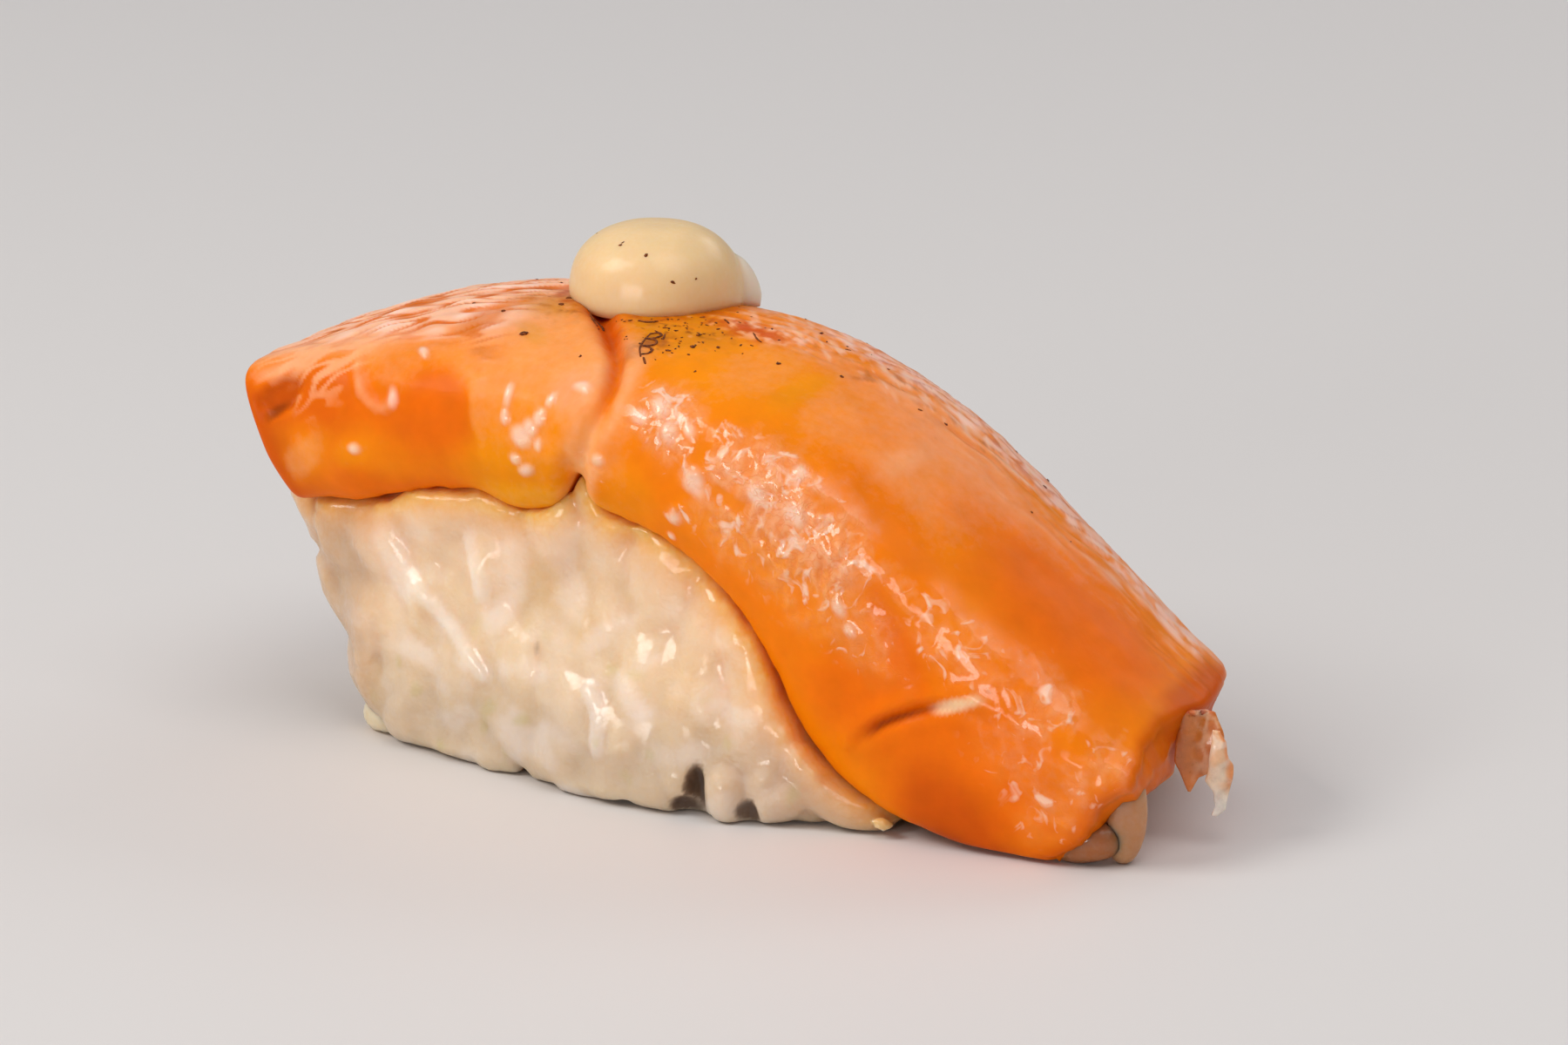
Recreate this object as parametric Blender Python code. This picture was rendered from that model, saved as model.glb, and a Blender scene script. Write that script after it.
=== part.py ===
"""Salmon nigiri: a pressed block of rice, a draped slab of seared salmon and a
dollop of spicy mayonnaise on top.

Frame: metres, +Z up, origin on the table under the middle of the piece.  +X runs
along the slab towards the end that hangs down to the table, -Y is the front.
Every length below is in millimetres; MM turns it into metres."""
import bpy
import bmesh
import numpy as np

MM = 0.001
GAP = 0.30                    # air between neighbouring pieces
# The shapes are laid out from the middle of the rice; the finished piece is
# moved so that its origin is under the middle of its whole box.
BOX_MIDDLE = (-4.25, -1.03)

# ---------------------------------------------------------------- salmon slab
SLAB_LENGTH = 71.0            # along the curved middle of its upper face
SLAB_START = (-37.3, 23.7)    # x, z of the upper face at the left end
RISE_ANGLE = 24.5             # the left end climbs at this slope ...
RISE_RUN = 22.0               # ... which dies away over this length
FALL_ANGLE = 38.5             # slope of the hanging right end
FALL_FROM, FALL_TO = 25.0, 56.5
END_SKEW = 1.8                # the front edge reaches this much further right
END_BULGE, END_BULGE_AT = 1.6, -4.0   # the end's edge bows out in front of its middle
SLAB_FLOOR = 0.30             # the hanging corner stops this far above the table
RING_POINTS = 44

# Sizes that change along the slab, as (distance from the left end, size)
CROWN_FRONT = ((0, 0.4), (6, 1.8), (14, 3.0), (30, 3.2), (60, 2.8), (71, 2.2))
CROWN_BACK = ((0, 1.6), (12, 3.0), (28, 4.4), (40, 7.0), (60, 7.6), (71, 6.6))
DEPTH_FRONT = ((0, 9.4), (8, 10.8), (16, 10.4), (24, 9.8), (30, 10.6),
               (38, 12.0), (47, 13.9), (57, 16.8), (65, 14.4), (71, 10.8))
DEPTH_BACK = ((0, 9.4), (10, 10.8), (26, 11.4), (46, 15.2), (58, 15.8), (71, 11.6))
HALF_FRONT = ((0, 11.6), (8, 12.2), (50, 12.3), (64, 12.0), (71, 11.4))
HALF_BACK = ((0, 11.2), (8, 11.8), (30, 12.0), (45, 11.5), (60, 11.0), (71, 10.0))
THICKNESS = ((0, 5.6), (8, 7.4), (30, 7.6), (56, 7.2), (71, 4.4))

SEAM_WIDTH, SEAM_DEPTH = 1.0, 1.0                     # muscle seam over the front
# the seam's path: share of the way round the section, from the middle of the
# upper face over the front shoulder to the lower edge, and distance along
SEAM_PATH = ((0.0, 20.8), (0.04, 25.2), (0.09, 28.6), (0.15, 29.6), (0.21, 28.6),
             (0.27, 26.8))
NOTCH_AT, NOTCH_WIDTH, NOTCH_DEPTH = 26.6, 1.1, 2.2   # where it meets the lower edge
LOBE_AT, LOBE_WIDTH, LOBE_DROP = 22.8, 3.4, 1.3       # lobe beside the notch

# ----------------------------------------------------------------------- rice
RICE_LEFT_FOOT, RICE_LEFT_TOP = -29.2, -36.6          # the left end leans out
RICE_RIGHT, RICE_RIGHT_BACK = 27.2, 20.5              # and the right end is skewed
RICE_FRONT, RICE_BACK = 12.6, 12.3
RICE_TOP = 23.5                                       # before the slab cuts it
RICE_BELLY, RICE_BELLY_X, RICE_BELLY_RUN = 2.9, -6.0, 9.5
RICE_EDGE = 1.3                                       # rounding at the foot
RICE_SQUARE = 6.0                                     # squareness of the plan
RICE_BUMP = 0.40                                      # unevenness of the grains
RICE_SECTORS = 86

# --------------------------------------------------------------------- dollop
DOLLOP_X, DOLLOP_Y = -14.1, 2.3
DOLLOP_R, DOLLOP_FOOT_R, DOLLOP_H = 5.5, 5.0, 4.9
DOLLOP_FLAT = 2.7                                     # squareness of its profile
LOBE_REACH, LOBE_TURN, LOBE_SPREAD, LOBE_H = 7.0, 0.62, 0.42, 3.4


def track(keys, x):
    """Smooth monotone curve through a few (place, size) pairs."""
    k = np.array(keys, float)
    px, pv = k[:, 0], k[:, 1]
    h = np.diff(px)
    d = np.diff(pv) / h
    m = np.zeros_like(pv)
    m[0], m[-1] = d[0], d[-1]
    for i in range(1, len(pv) - 1):
        if d[i - 1] * d[i] > 0:
            m[i] = 2 * d[i - 1] * d[i] / (d[i - 1] + d[i])
    x = np.clip(np.asarray(x, float), px[0], px[-1])
    i = np.clip(np.searchsorted(px, x, side="right") - 1, 0, len(h) - 1)
    t = (x - px[i]) / h[i]
    return ((2 * t**3 - 3 * t**2 + 1) * pv[i] + (t**3 - 2 * t**2 + t) * h[i] * m[i]
            + (3 * t**2 - 2 * t**3) * pv[i + 1] + (t**3 - t**2) * h[i] * m[i + 1])


def smooth(x, lo, hi):
    t = np.clip((np.asarray(x, float) - lo) / (hi - lo), 0, 1)
    return t * t * (3 - 2 * t)


def bell(x, at, width):
    return np.exp(-((np.asarray(x, float) - at) / width) ** 2)


def slab_middle(a):
    """x, z and slope of the upper face's middle line at distance a."""
    s = np.linspace(0, SLAB_LENGTH, 600)
    slope = (np.radians(RISE_ANGLE) * (1 - smooth(s, 0, RISE_RUN))
             - np.radians(FALL_ANGLE) * smooth(s, FALL_FROM, FALL_TO))
    step = s[1] - s[0]
    mid = (slope[1:] + slope[:-1]) / 2
    x = SLAB_START[0] + np.concatenate([[0], np.cumsum(np.cos(mid)) * step])
    z = SLAB_START[1] + np.concatenate([[0], np.cumsum(np.sin(mid)) * step])
    over = np.minimum(a, 0) + np.maximum(a - SLAB_LENGTH, 0)
    t = np.interp(a, s, slope)
    return (np.interp(a, s, x) + over * np.cos(t),
            np.interp(a, s, z) + over * np.sin(t), t)


def place(a, b, n):
    """Slab coordinates (along, across, up from the middle line) to the object's."""
    along = (a - END_SKEW * b / 12 * smooth(a, 25, SLAB_LENGTH)
             + END_BULGE * bell(b, END_BULGE_AT, 5.0) * smooth(a, SLAB_LENGTH - 14, SLAB_LENGTH))
    x, z, t = slab_middle(along)
    return np.stack([x - np.sin(t) * n, b + 0 * x, z + np.cos(t) * n], -1)


def spline(ctrl, count):
    """Closed cubic B-spline through the last-but-one axis of ctrl."""
    m = ctrl.shape[-2]
    t = np.arange(count) / count * m
    i = t.astype(int)
    f = (t - i)[:, None]
    c = [ctrl[..., (i + k - 1) % m, :] for k in range(4)]
    w = [(1 - f) ** 3 / 6, (3 * f**3 - 6 * f**2 + 4) / 6,
         (-3 * f**3 + 3 * f**2 + 3 * f + 1) / 6, f**3 / 6]
    return sum(c[k] * w[k] for k in range(4))


def front_depth(a):
    return (track(DEPTH_FRONT, a) - NOTCH_DEPTH * bell(a, NOTCH_AT, NOTCH_WIDTH)
            + LOBE_DROP * bell(a, LOBE_AT, LOBE_WIDTH))


def slab_sections(a, count):
    """Closed outlines across the slab: crowned face, thick sides, underside."""
    thick = track(THICKNESS, a)

    def side(sign, half, crown, depth):
        return [(sign * 0.42 * half, -0.10 * crown), (sign * 0.80 * half, -0.55 * crown),
                (sign * 1.02 * half, -1.15 * crown),
                (sign * 1.06 * half, -(0.55 * crown + 0.45 * depth)),
                (sign * 1.04 * half, -(0.12 * crown + 0.90 * depth)),
                (sign * 0.99 * half, -1.03 * depth), (sign * 0.80 * half, -1.01 * depth),
                (sign * 0.66 * half, -(thick + 0.55 * (depth - thick))),
                (sign * 0.36 * half, -(thick + 0.15 * (depth - thick)))]

    front = side(-1, track(HALF_FRONT, a), track(CROWN_FRONT, a), front_depth(a))
    back = side(1, track(HALF_BACK, a), track(CROWN_BACK, a), track(DEPTH_BACK, a))
    ring = [(0 * a, 0 * a)] + front + [(0 * a, -thick)] + back[::-1]
    ctrl = np.stack([np.stack(p, -1) for p in ring], -2)
    return spline(ctrl, count)


def outward(sec):
    """Unit outward normals of closed outlines that run front-first from the top."""
    tan = np.roll(sec, -1, -2) - np.roll(sec, 1, -2)
    nor = np.stack([-tan[..., 1], tan[..., 0]], -1)
    nor /= np.linalg.norm(nor, axis=-1, keepdims=True)
    return -nor


def stations():
    """Places of the slab's sections: closer at the seam."""
    return np.concatenate([np.linspace(1.3, 22.0, 13), np.linspace(22.9, 31.9, 13),
                           np.linspace(33.4, SLAB_LENGTH - 1.3, 21)])


def slab_rings():
    # both ends are rounded over a few extra rings
    ends = np.array([0.0, 0.18, 0.55])
    a = np.concatenate([ends, stations(), SLAB_LENGTH - ends[::-1]])
    sec = slab_sections(a, RING_POINTS)
    nor = outward(sec)
    edge = np.minimum(a, SLAB_LENGTH - a)
    inset = 0.55 * (1 - np.sqrt(1 - np.clip(1 - edge / 0.55, 0, 1) ** 2))
    sec = sec - nor * inset[:, None, None]
    b, n = sec[..., 0], sec[..., 1]
    # the muscle seam crosses the front half of the face and the front side
    j = np.arange(RING_POINTS) / RING_POINTS
    on_front = smooth(j, 0.01, 0.06) * (1 - smooth(j, 0.27, 0.31))
    seam = SEAM_DEPTH * bell(a[:, None], track(SEAM_PATH, j), SEAM_WIDTH) * on_front
    sec = sec - nor * seam[..., None]
    pts = place(a[:, None], sec[..., 0], sec[..., 1])
    low_z = pts[..., 2]
    pts[..., 2] = np.where(low_z < SLAB_FLOOR + 1.0,
                           SLAB_FLOOR + np.log1p(np.exp(np.minimum(
                               (low_z - SLAB_FLOOR) * 3.0, 30))) / 3.0, low_z)
    return pts


def loft(rings, first, last):
    """Faces of stacked closed rings; first and last say how each end is closed."""
    count, n = rings.shape[:2]
    faces = []
    for i in range(count - 1):
        for k in range(n):
            m = (k + 1) % n
            faces.append((i * n + k, (i + 1) * n + k, (i + 1) * n + m, i * n + m))
    verts = rings.reshape(-1, 3)
    for cap, row, flip in ((first, 0, False), (last, count - 1, True)):
        ids = [row * n + k for k in range(n)]
        if flip:
            ids = ids[::-1]
        if isinstance(cap, str) and cap == "flat":
            faces.append(tuple(ids))
        elif isinstance(cap, str):               # strips across, point k to its opposite
            faces += [(ids[k], ids[k + 1], ids[n - 2 - k], ids[n - 1 - k])
                      for k in range(n // 2 - 1)]
        else:                                    # a fan to the cap's own point
            c = len(verts)
            verts = np.vstack([verts, np.array(cap)[None]])
            faces += [(ids[k], ids[(k + 1) % n], c) for k in range(n)]
    return verts, faces


def colour(name, rgb, rough):
    mat = bpy.data.materials.new(name)
    mat.use_nodes = True
    sock = mat.node_tree.nodes["Principled BSDF"].inputs
    sock["Base Color"].default_value = (*rgb, 1)
    sock["Roughness"].default_value = rough
    sock["Metallic"].default_value = 0.0
    mat.diffuse_color = (*rgb, 1)
    return mat


def solid(name, verts, faces, mat=None, soft=True):
    mesh = bpy.data.meshes.new(name)
    shift = np.array([BOX_MIDDLE[0], BOX_MIDDLE[1], 0.0])
    mesh.from_pydata([tuple((v - shift) * MM) for v in np.asarray(verts)], [], faces)
    bm = bmesh.new()
    bm.from_mesh(mesh)
    bmesh.ops.recalc_face_normals(bm, faces=bm.faces)
    if bm.calc_volume(signed=True) < 0:
        bmesh.ops.reverse_faces(bm, faces=bm.faces)
    bm.to_mesh(mesh)
    bm.free()
    ob = bpy.data.objects.new(name, mesh)
    bpy.context.collection.objects.link(ob)
    if mat:
        mesh.materials.append(mat)
    if soft:
        mesh.shade_smooth()
        mesh.set_sharp_from_angle(angle=np.radians(50))
    return ob


def cutter(name, verts, faces):
    ob = solid(name, verts, faces, soft=False)
    ob.hide_render = True
    ob.display_type = "WIRE"
    return ob


def subtract(ob, tool):
    mod = ob.modifiers.new("cut_" + tool.name, "BOOLEAN")
    mod.operation = "DIFFERENCE"
    mod.solver = "EXACT"
    mod.object = tool


def rounded_plan(count):
    """Points spaced evenly round a unit square with rounded corners."""
    p = np.linspace(0, 2 * np.pi, 1441)
    x = np.sign(np.cos(p)) * np.abs(np.cos(p)) ** (2 / RICE_SQUARE)
    y = np.sign(np.sin(p)) * np.abs(np.sin(p)) ** (2 / RICE_SQUARE)
    run = np.concatenate([[0], np.cumsum(np.hypot(np.diff(x) * 30, np.diff(y) * 12))])
    at = np.linspace(0, run[-1], count + 1)[:-1]
    return np.interp(at, run, x), np.interp(at, run, y)


def rice_loaf():
    """The pressed block: rounded foot, leaning left end, uneven sides."""
    cx, cy = rounded_plan(RICE_SECTORS)
    rings = []
    for z in (0.0, 0.35, 0.9, 2.0, 3.8, 6.0, 8.4, 10.8, 13.2, 15.6, 18.5, RICE_TOP):
        foot = RICE_EDGE * (1 - np.sqrt(1 - np.clip(1 - z / RICE_EDGE, 0, 1) ** 2)) * 0.5
        left = RICE_LEFT_FOOT + (RICE_LEFT_TOP - RICE_LEFT_FOOT) * z / 16.0 + foot
        right = (RICE_RIGHT + (RICE_RIGHT_BACK - RICE_RIGHT) * (cy + 1) / 2) - foot
        x = (left + right) / 2 + (right - left) / 2 * cx
        belly = RICE_BELLY * bell(x, RICE_BELLY_X, RICE_BELLY_RUN) * (1 - smooth(z, 1.5, 13))
        pull = 1.0 * smooth(z, 5, 16)
        front = RICE_FRONT + belly - foot - pull
        back = RICE_BACK + 0.35 * belly - foot - pull
        y = np.where(cy < 0, front * cy, back * cy)
        bump = RICE_BUMP * (np.sin(1.05 * x + 0.5 * z + 0.4 * y) * np.cos(0.8 * z - 0.45 * x)
                            + 0.5 * np.sin(0.6 * x - 1.2 * z + 0.9 * y)) * smooth(z, 0.0, 1.6)
        rings.append(np.stack([x + bump * cx * 0.8, y + bump * cy, z + 0 * x], -1))
    return loft(np.array(rings), "flat", "flat")


def slab_cutter():
    """Everything above the slab's underside and lower edges, GAP below them."""
    a = np.concatenate([[-8.0, 0.0], stations(), [SLAB_LENGTH + GAP]])
    sec = slab_sections(np.clip(a, 0, SLAB_LENGTH), 96)
    sec = sec + outward(sec) * (GAP + 0.06)
    low_f = sec[:, :48, 1].argmin(1)
    low_b = 48 + sec[:, 48:, 1].argmin(1)
    keep = 24                                      # points kept along the underside
    rings = []
    for r in range(len(a)):
        run = sec[r, low_f[r]:low_b[r] + 1]
        at = np.linspace(0, len(run) - 1, keep)
        line = np.stack([np.interp(at, np.arange(len(run)), run[:, c]) for c in (0, 1)], -1)
        wide, high = 24.0, 26.0
        under = np.vstack([[(-wide, line[0, 1])], line, [(wide, line[-1, 1])]])
        lid = np.stack([under[::-1, 0], np.full(keep + 2, high)], -1)
        rings.append(np.vstack([under, lid]))
    ring = np.array(rings)
    pts = place(a[:, None], ring[..., 0], ring[..., 1])
    return loft(pts, "strips", "strips")


def end_cutter():
    """Past the slab's hanging end the rice stays under the same slope."""
    a = np.array([SLAB_LENGTH - 6.0, SLAB_LENGTH + 12.0])
    n0 = -(THICKNESS[-1][1] + 1.9)
    ring = np.array([[(-30, n0 - 2.4), (-9, n0 - 1.0), (0, n0), (9, n0 - 1.0), (30, n0 - 2.4),
                      (30, 26), (-30, 26)]] * 2, float)
    pts = place(a[:, None], ring[..., 0], ring[..., 1])
    return loft(pts, "flat", "flat")


def dollop():
    """Squeezed dome with a small second lobe, standing on the slab's crown."""
    rows, cols = 13, 36
    phi = np.arange(cols) / cols * 2 * np.pi
    turn = (phi - LOBE_TURN + np.pi) % (2 * np.pi) - np.pi
    lobe = np.exp(-(turn / LOBE_SPREAD) ** 2)
    rings = []
    for i in range(rows):
        t = i / (rows - 1)
        ang = t * np.pi / 2 * 0.96
        r = DOLLOP_R * np.cos(ang) ** (2 / DOLLOP_FLAT)
        h = DOLLOP_H * np.sin(ang) ** (2 / DOLLOP_FLAT)
        r = r - (DOLLOP_R - DOLLOP_FOOT_R) * (1 - smooth(h, 0, 1.3))
        far = LOBE_REACH * np.sqrt(1 - min(h / LOBE_H, 1) ** 2) if h < LOBE_H else 0.0
        out = r + lobe * max(far - r, 0)
        rings.append(np.stack([DOLLOP_X + out * np.cos(phi), DOLLOP_Y + out * np.sin(phi),
                               h + 0 * phi], -1))
    return np.array(rings)


def slab_top_z(x, y, tree):
    hit = tree.ray_cast(((x - BOX_MIDDLE[0]) * MM, (y - BOX_MIDDLE[1]) * MM, 0.06),
                        (0, 0, -1))
    return hit[0].z / MM


def main():
    for ob in list(bpy.data.objects):
        bpy.data.objects.remove(ob, do_unlink=True)

    salmon_mat = colour("salmon_flesh", (0.80, 0.21, 0.02), 0.32)
    rice_mat = colour("cooked_rice", (0.76, 0.62, 0.45), 0.45)
    mayo_mat = colour("spicy_mayo", (0.84, 0.60, 0.35), 0.30)

    rings = slab_rings()
    verts, faces = loft(rings, "flat", "flat")
    salmon = solid("salmon", verts, faces, salmon_mat)

    rice = solid("rice", *rice_loaf(), mat=rice_mat)
    subtract(rice, cutter("tool_slab", *slab_cutter()))
    subtract(rice, cutter("tool_end", *end_cutter()))

    # the dollop's foot follows the slab's crown, one gap above it
    from mathutils.bvhtree import BVHTree
    bm = bmesh.new()
    bm.from_mesh(salmon.data)
    tree = BVHTree.FromBMesh(bm)
    rows = dollop()
    foot = np.array([slab_top_z(x, y, tree) for x, y, _ in rows[0]])
    crown = slab_top_z(DOLLOP_X, DOLLOP_Y, tree)
    for i, row in enumerate(rows):
        fade = (1 - i / (len(rows) - 1)) ** 1.6
        row[:, 2] += GAP + crown + (foot - crown) * fade
    inner = []
    for s in (0.66, 0.33):
        ring = rows[0].copy()
        ring[:, :2] = (DOLLOP_X, DOLLOP_Y) + (ring[:, :2] - (DOLLOP_X, DOLLOP_Y)) * s
        ring[:, 2] = [GAP + slab_top_z(x, y, tree) for x, y, _ in ring]
        inner.append(ring)
    bm.free()
    stack = np.array(inner[::-1] + list(rows))
    top = (DOLLOP_X, DOLLOP_Y, crown + GAP + DOLLOP_H)
    under = (DOLLOP_X, DOLLOP_Y, crown + GAP)
    verts, faces = loft(stack, under, top)
    solid("sauce_dollop", verts, faces, mayo_mat)


main()
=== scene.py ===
"""Salmon nigiri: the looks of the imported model.

A slab of lightly seared salmon lies over pressed sushi rice, with a dollop of
spicy mayonnaise on its crown.  Shapes are laid out in millimetres in the same
layout frame as the construction (its middle lies at BOX_MIDDLE), and make()
moves them to the object's frame in metres."""
import bpy
import bmesh
import numpy as np
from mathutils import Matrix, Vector
from mathutils.bvhtree import BVHTree


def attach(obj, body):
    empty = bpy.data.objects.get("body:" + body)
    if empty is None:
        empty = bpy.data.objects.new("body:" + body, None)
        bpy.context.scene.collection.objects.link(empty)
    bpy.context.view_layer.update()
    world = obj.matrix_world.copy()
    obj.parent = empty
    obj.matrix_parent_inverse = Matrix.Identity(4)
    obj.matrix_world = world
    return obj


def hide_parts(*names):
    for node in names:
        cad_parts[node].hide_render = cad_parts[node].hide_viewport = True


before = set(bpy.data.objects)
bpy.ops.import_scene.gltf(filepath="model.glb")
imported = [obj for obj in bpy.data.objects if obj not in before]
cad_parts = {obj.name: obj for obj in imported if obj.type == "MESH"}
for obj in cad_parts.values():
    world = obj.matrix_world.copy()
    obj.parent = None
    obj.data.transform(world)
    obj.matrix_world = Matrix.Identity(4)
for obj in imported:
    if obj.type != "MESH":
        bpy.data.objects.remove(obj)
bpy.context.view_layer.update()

MM = 0.001
BOX_MIDDLE = (-4.25, -1.03)
SHIFT = np.array([BOX_MIDDLE[0], BOX_MIDDLE[1], 0.0])
rng = np.random.default_rng(7)

# ---------------------------------------------------------------- slab sizes
SLAB_LENGTH = 71.0
SLAB_START = (-37.3, 23.7)
RISE_ANGLE, RISE_RUN = 24.5, 22.0
FALL_ANGLE, FALL_FROM, FALL_TO = 38.5, 25.0, 56.5
END_SKEW = 1.8
END_BULGE, END_BULGE_AT = 1.6, -4.0
SLAB_FLOOR = 0.15
CROWN_FRONT = ((0, 0.4), (6, 1.8), (14, 3.0), (30, 3.2), (60, 2.8), (71, 2.2))
CROWN_BACK = ((0, 1.6), (12, 3.0), (28, 4.4), (40, 7.0), (60, 7.6), (71, 6.6))
DEPTH_FRONT = ((0, 9.4), (8, 10.8), (16, 10.4), (24, 9.8), (30, 10.6),
               (38, 12.0), (47, 13.9), (57, 16.8), (65, 14.4), (71, 10.8))
DEPTH_BACK = ((0, 9.4), (10, 10.8), (26, 11.4), (46, 15.2), (58, 15.8), (71, 11.6))
HALF_FRONT = ((0, 11.6), (8, 12.2), (50, 12.3), (64, 12.0), (71, 11.4))
HALF_BACK = ((0, 11.2), (8, 11.8), (30, 12.0), (45, 11.5), (60, 11.0), (71, 10.0))
THICKNESS = ((0, 5.6), (8, 7.4), (30, 7.6), (56, 7.2), (71, 4.4))
NOTCH_AT, NOTCH_WIDTH, NOTCH_DEPTH = 26.6, 1.1, 2.2
LOBE_AT, LOBE_WIDTH, LOBE_DROP = 22.8, 3.4, 1.3

# Features of the slab's face, as (distance along, distance round from the
# middle of the upper face; the front is positive), in millimetres
SEAM = ((21.2, 0.2), (23.6, 3.6), (26.2, 6.8), (28.0, 9.2), (28.9, 11.4), (29.0, 13.1),
        (28.4, 14.8), (27.7, 16.8), (26.7, 19.4))
SHOULDER = ((30.0, 8.3), (32.4, 8.5), (35.1, 10.0), (37.9, 11.6), (40.5, 12.6),
            (43.9, 12.3), (47.2, 13.1), (50.4, 13.8), (52.7, 14.3), (55.4, 15.3), (57.2, 16.4))
BAND_LOW = ((30.2, 13.2), (33.2, 16.0), (35.4, 18.1), (37.8, 19.8), (42.0, 20.0),
            (46.3, 18.9), (49.9, 19.8), (53.1, 19.6), (56.2, 17.6))
CREASE = ((57.5, 23.0), (58.0, 20.4), (59.4, 17.7), (60.5, 16.3), (61.8, 15.5), (65.7, 14.6),
          (67.7, 15.2), (69.6, 16.4))
VALLEY = ((52.9, 14.8), (56.5, 16.2), (58.2, 17.0), (59.0, 18.0))

# ------------------------------------------------------------------- dollop
DOLLOP_X, DOLLOP_Y = -14.1, 2.3
DOLLOP_R, DOLLOP_FOOT_R, DOLLOP_H = 5.65, 5.55, 4.9
DOLLOP_FLAT = 2.65
LOBE_TURN, LOBE_H = 0.75, 3.2


# ================================================================== helpers
def srgb(r, g, b):
    c = np.array([r, g, b], float) / 255
    return np.where(c <= 0.04045, c / 12.92, ((c + 0.055) / 1.055) ** 2.4)


def track(keys, x):
    """Smooth monotone curve through a few (place, size) pairs."""
    k = np.array(keys, float)
    px, pv = k[:, 0], k[:, 1]
    h = np.diff(px)
    d = np.diff(pv) / h
    m = np.zeros_like(pv)
    m[0], m[-1] = d[0], d[-1]
    for i in range(1, len(pv) - 1):
        if d[i - 1] * d[i] > 0:
            m[i] = 2 * d[i - 1] * d[i] / (d[i - 1] + d[i])
    x = np.clip(np.asarray(x, float), px[0], px[-1])
    i = np.clip(np.searchsorted(px, x, side="right") - 1, 0, len(h) - 1)
    t = (x - px[i]) / h[i]
    return ((2 * t**3 - 3 * t**2 + 1) * pv[i] + (t**3 - 2 * t**2 + t) * h[i] * m[i]
            + (3 * t**2 - 2 * t**3) * pv[i + 1] + (t**3 - t**2) * h[i] * m[i + 1])


def smooth(x, lo, hi):
    t = np.clip((np.asarray(x, float) - lo) / (hi - lo), 0, 1)
    return t * t * (3 - 2 * t)


def bell(x, at, width):
    return np.exp(-((np.asarray(x, float) - at) / width) ** 2)


def lattice(i, seed):
    with np.errstate(over="ignore"):
        h = (i[..., 0].astype(np.uint32) * np.uint32(73856093)
             ^ i[..., 1].astype(np.uint32) * np.uint32(19349663)
             ^ i[..., 2].astype(np.uint32) * np.uint32(83492791)
             ^ np.uint32((seed * 2654435761 + 12345) & 0xFFFFFFFF))
        h ^= h >> np.uint32(15)
        h *= np.uint32(2246822519)
        h ^= h >> np.uint32(13)
        h *= np.uint32(3266489917)
        h ^= h >> np.uint32(16)
    return h.astype(float) / 2147483647.5 - 1


def noise(p, scale, seed=0):
    """Gradient noise, about -1 to 1, of points (..., 3); scale is its wavelength."""
    q = np.asarray(p, float) / scale
    i = np.floor(q).astype(np.int64)
    f = q - i
    s = f * f * f * (f * (f * 6 - 15) + 10)
    out = 0.0
    for dx in (0, 1):
        for dy in (0, 1):
            for dz in (0, 1):
                o = np.array([dx, dy, dz])
                c = i + o
                g = sum(lattice(c, seed * 3 + k) * (f[..., k] - o[k]) for k in range(3))
                w = 1.0
                for k, on in enumerate((dx, dy, dz)):
                    w = w * (s[..., k] if on else 1 - s[..., k])
                out = out + g * w
    return out * 1.35


def fbm(p, scale, seed=0, octaves=3):
    total, amp, norm = 0.0, 1.0, 0.0
    for o in range(octaves):
        total = total + amp * noise(p, scale / 2**o, seed + 17 * o)
        norm += amp
        amp *= 0.5
    return total / norm


def ridged(p, scale, seed=0):
    """1 along thin winding lines, falling to 0 between them."""
    return np.clip(1 - 2.4 * np.abs(noise(p, scale, seed)), 0, 1)


def flat3(a, b, c=0.0):
    return np.stack([a, b, np.zeros_like(a) + c], -1)


def path_points(keys, count=80):
    """Even points on a smooth curve through keys (centripetal enough for these)."""
    k = np.array(keys, float)
    d = np.concatenate([[0], np.cumsum(np.linalg.norm(np.diff(k, axis=0), axis=1))])
    t = np.linspace(0, d[-1], count)
    p = np.vstack([2 * k[0] - k[1], k, 2 * k[-1] - k[-2]])
    i = np.clip(np.searchsorted(d, t, side="right") - 1, 0, len(k) - 2)
    f = ((t - d[i]) / (d[i + 1] - d[i]))[:, None]
    p0, p1, p2, p3 = p[i], p[i + 1], p[i + 2], p[i + 3]
    return 0.5 * (2 * p1 + (p2 - p0) * f + (2 * p0 - 5 * p1 + 4 * p2 - p3) * f**2
                  + (3 * p1 - p0 - 3 * p2 + p3) * f**3)


def near_path(a, w, keys, count=80):
    """Distance to a path in the face's plane, side (positive is past it towards
    larger w for a path that runs along +a) and share of the way along."""
    pts = path_points(keys, count)
    shape = a.shape
    q = np.stack([a.ravel(), w.ravel()], -1)
    best = np.full(len(q), 1e9)
    side = np.zeros(len(q))
    share = np.zeros(len(q))
    for i in range(len(pts) - 1):
        s, e = pts[i], pts[i + 1]
        v = e - s
        t = np.clip(((q - s) @ v) / (v @ v), 0, 1)
        r = q - s - t[:, None] * v
        d = np.hypot(r[:, 0], r[:, 1])
        m = d < best
        best = np.where(m, d, best)
        side = np.where(m, np.sign(v[0] * r[:, 1] - v[1] * r[:, 0]), side)
        share = np.where(m, (i + t) / (len(pts) - 1), share)
    return best.reshape(shape), side.reshape(shape), share.reshape(shape)


def blob(a, w, at, size, turn=0.0, soft=0.35, warp=None):
    """1 inside an ellipse on the face, fading out over its soft rim."""
    c, s = np.cos(np.radians(turn)), np.sin(np.radians(turn))
    da, dw = a - at[0], w - at[1]
    r = np.hypot((c * da + s * dw) / size[0], (-s * da + c * dw) / size[1])
    if warp is not None:
        r = r + warp
    return 1 - smooth(r, 1 - soft, 1 + soft)


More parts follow.
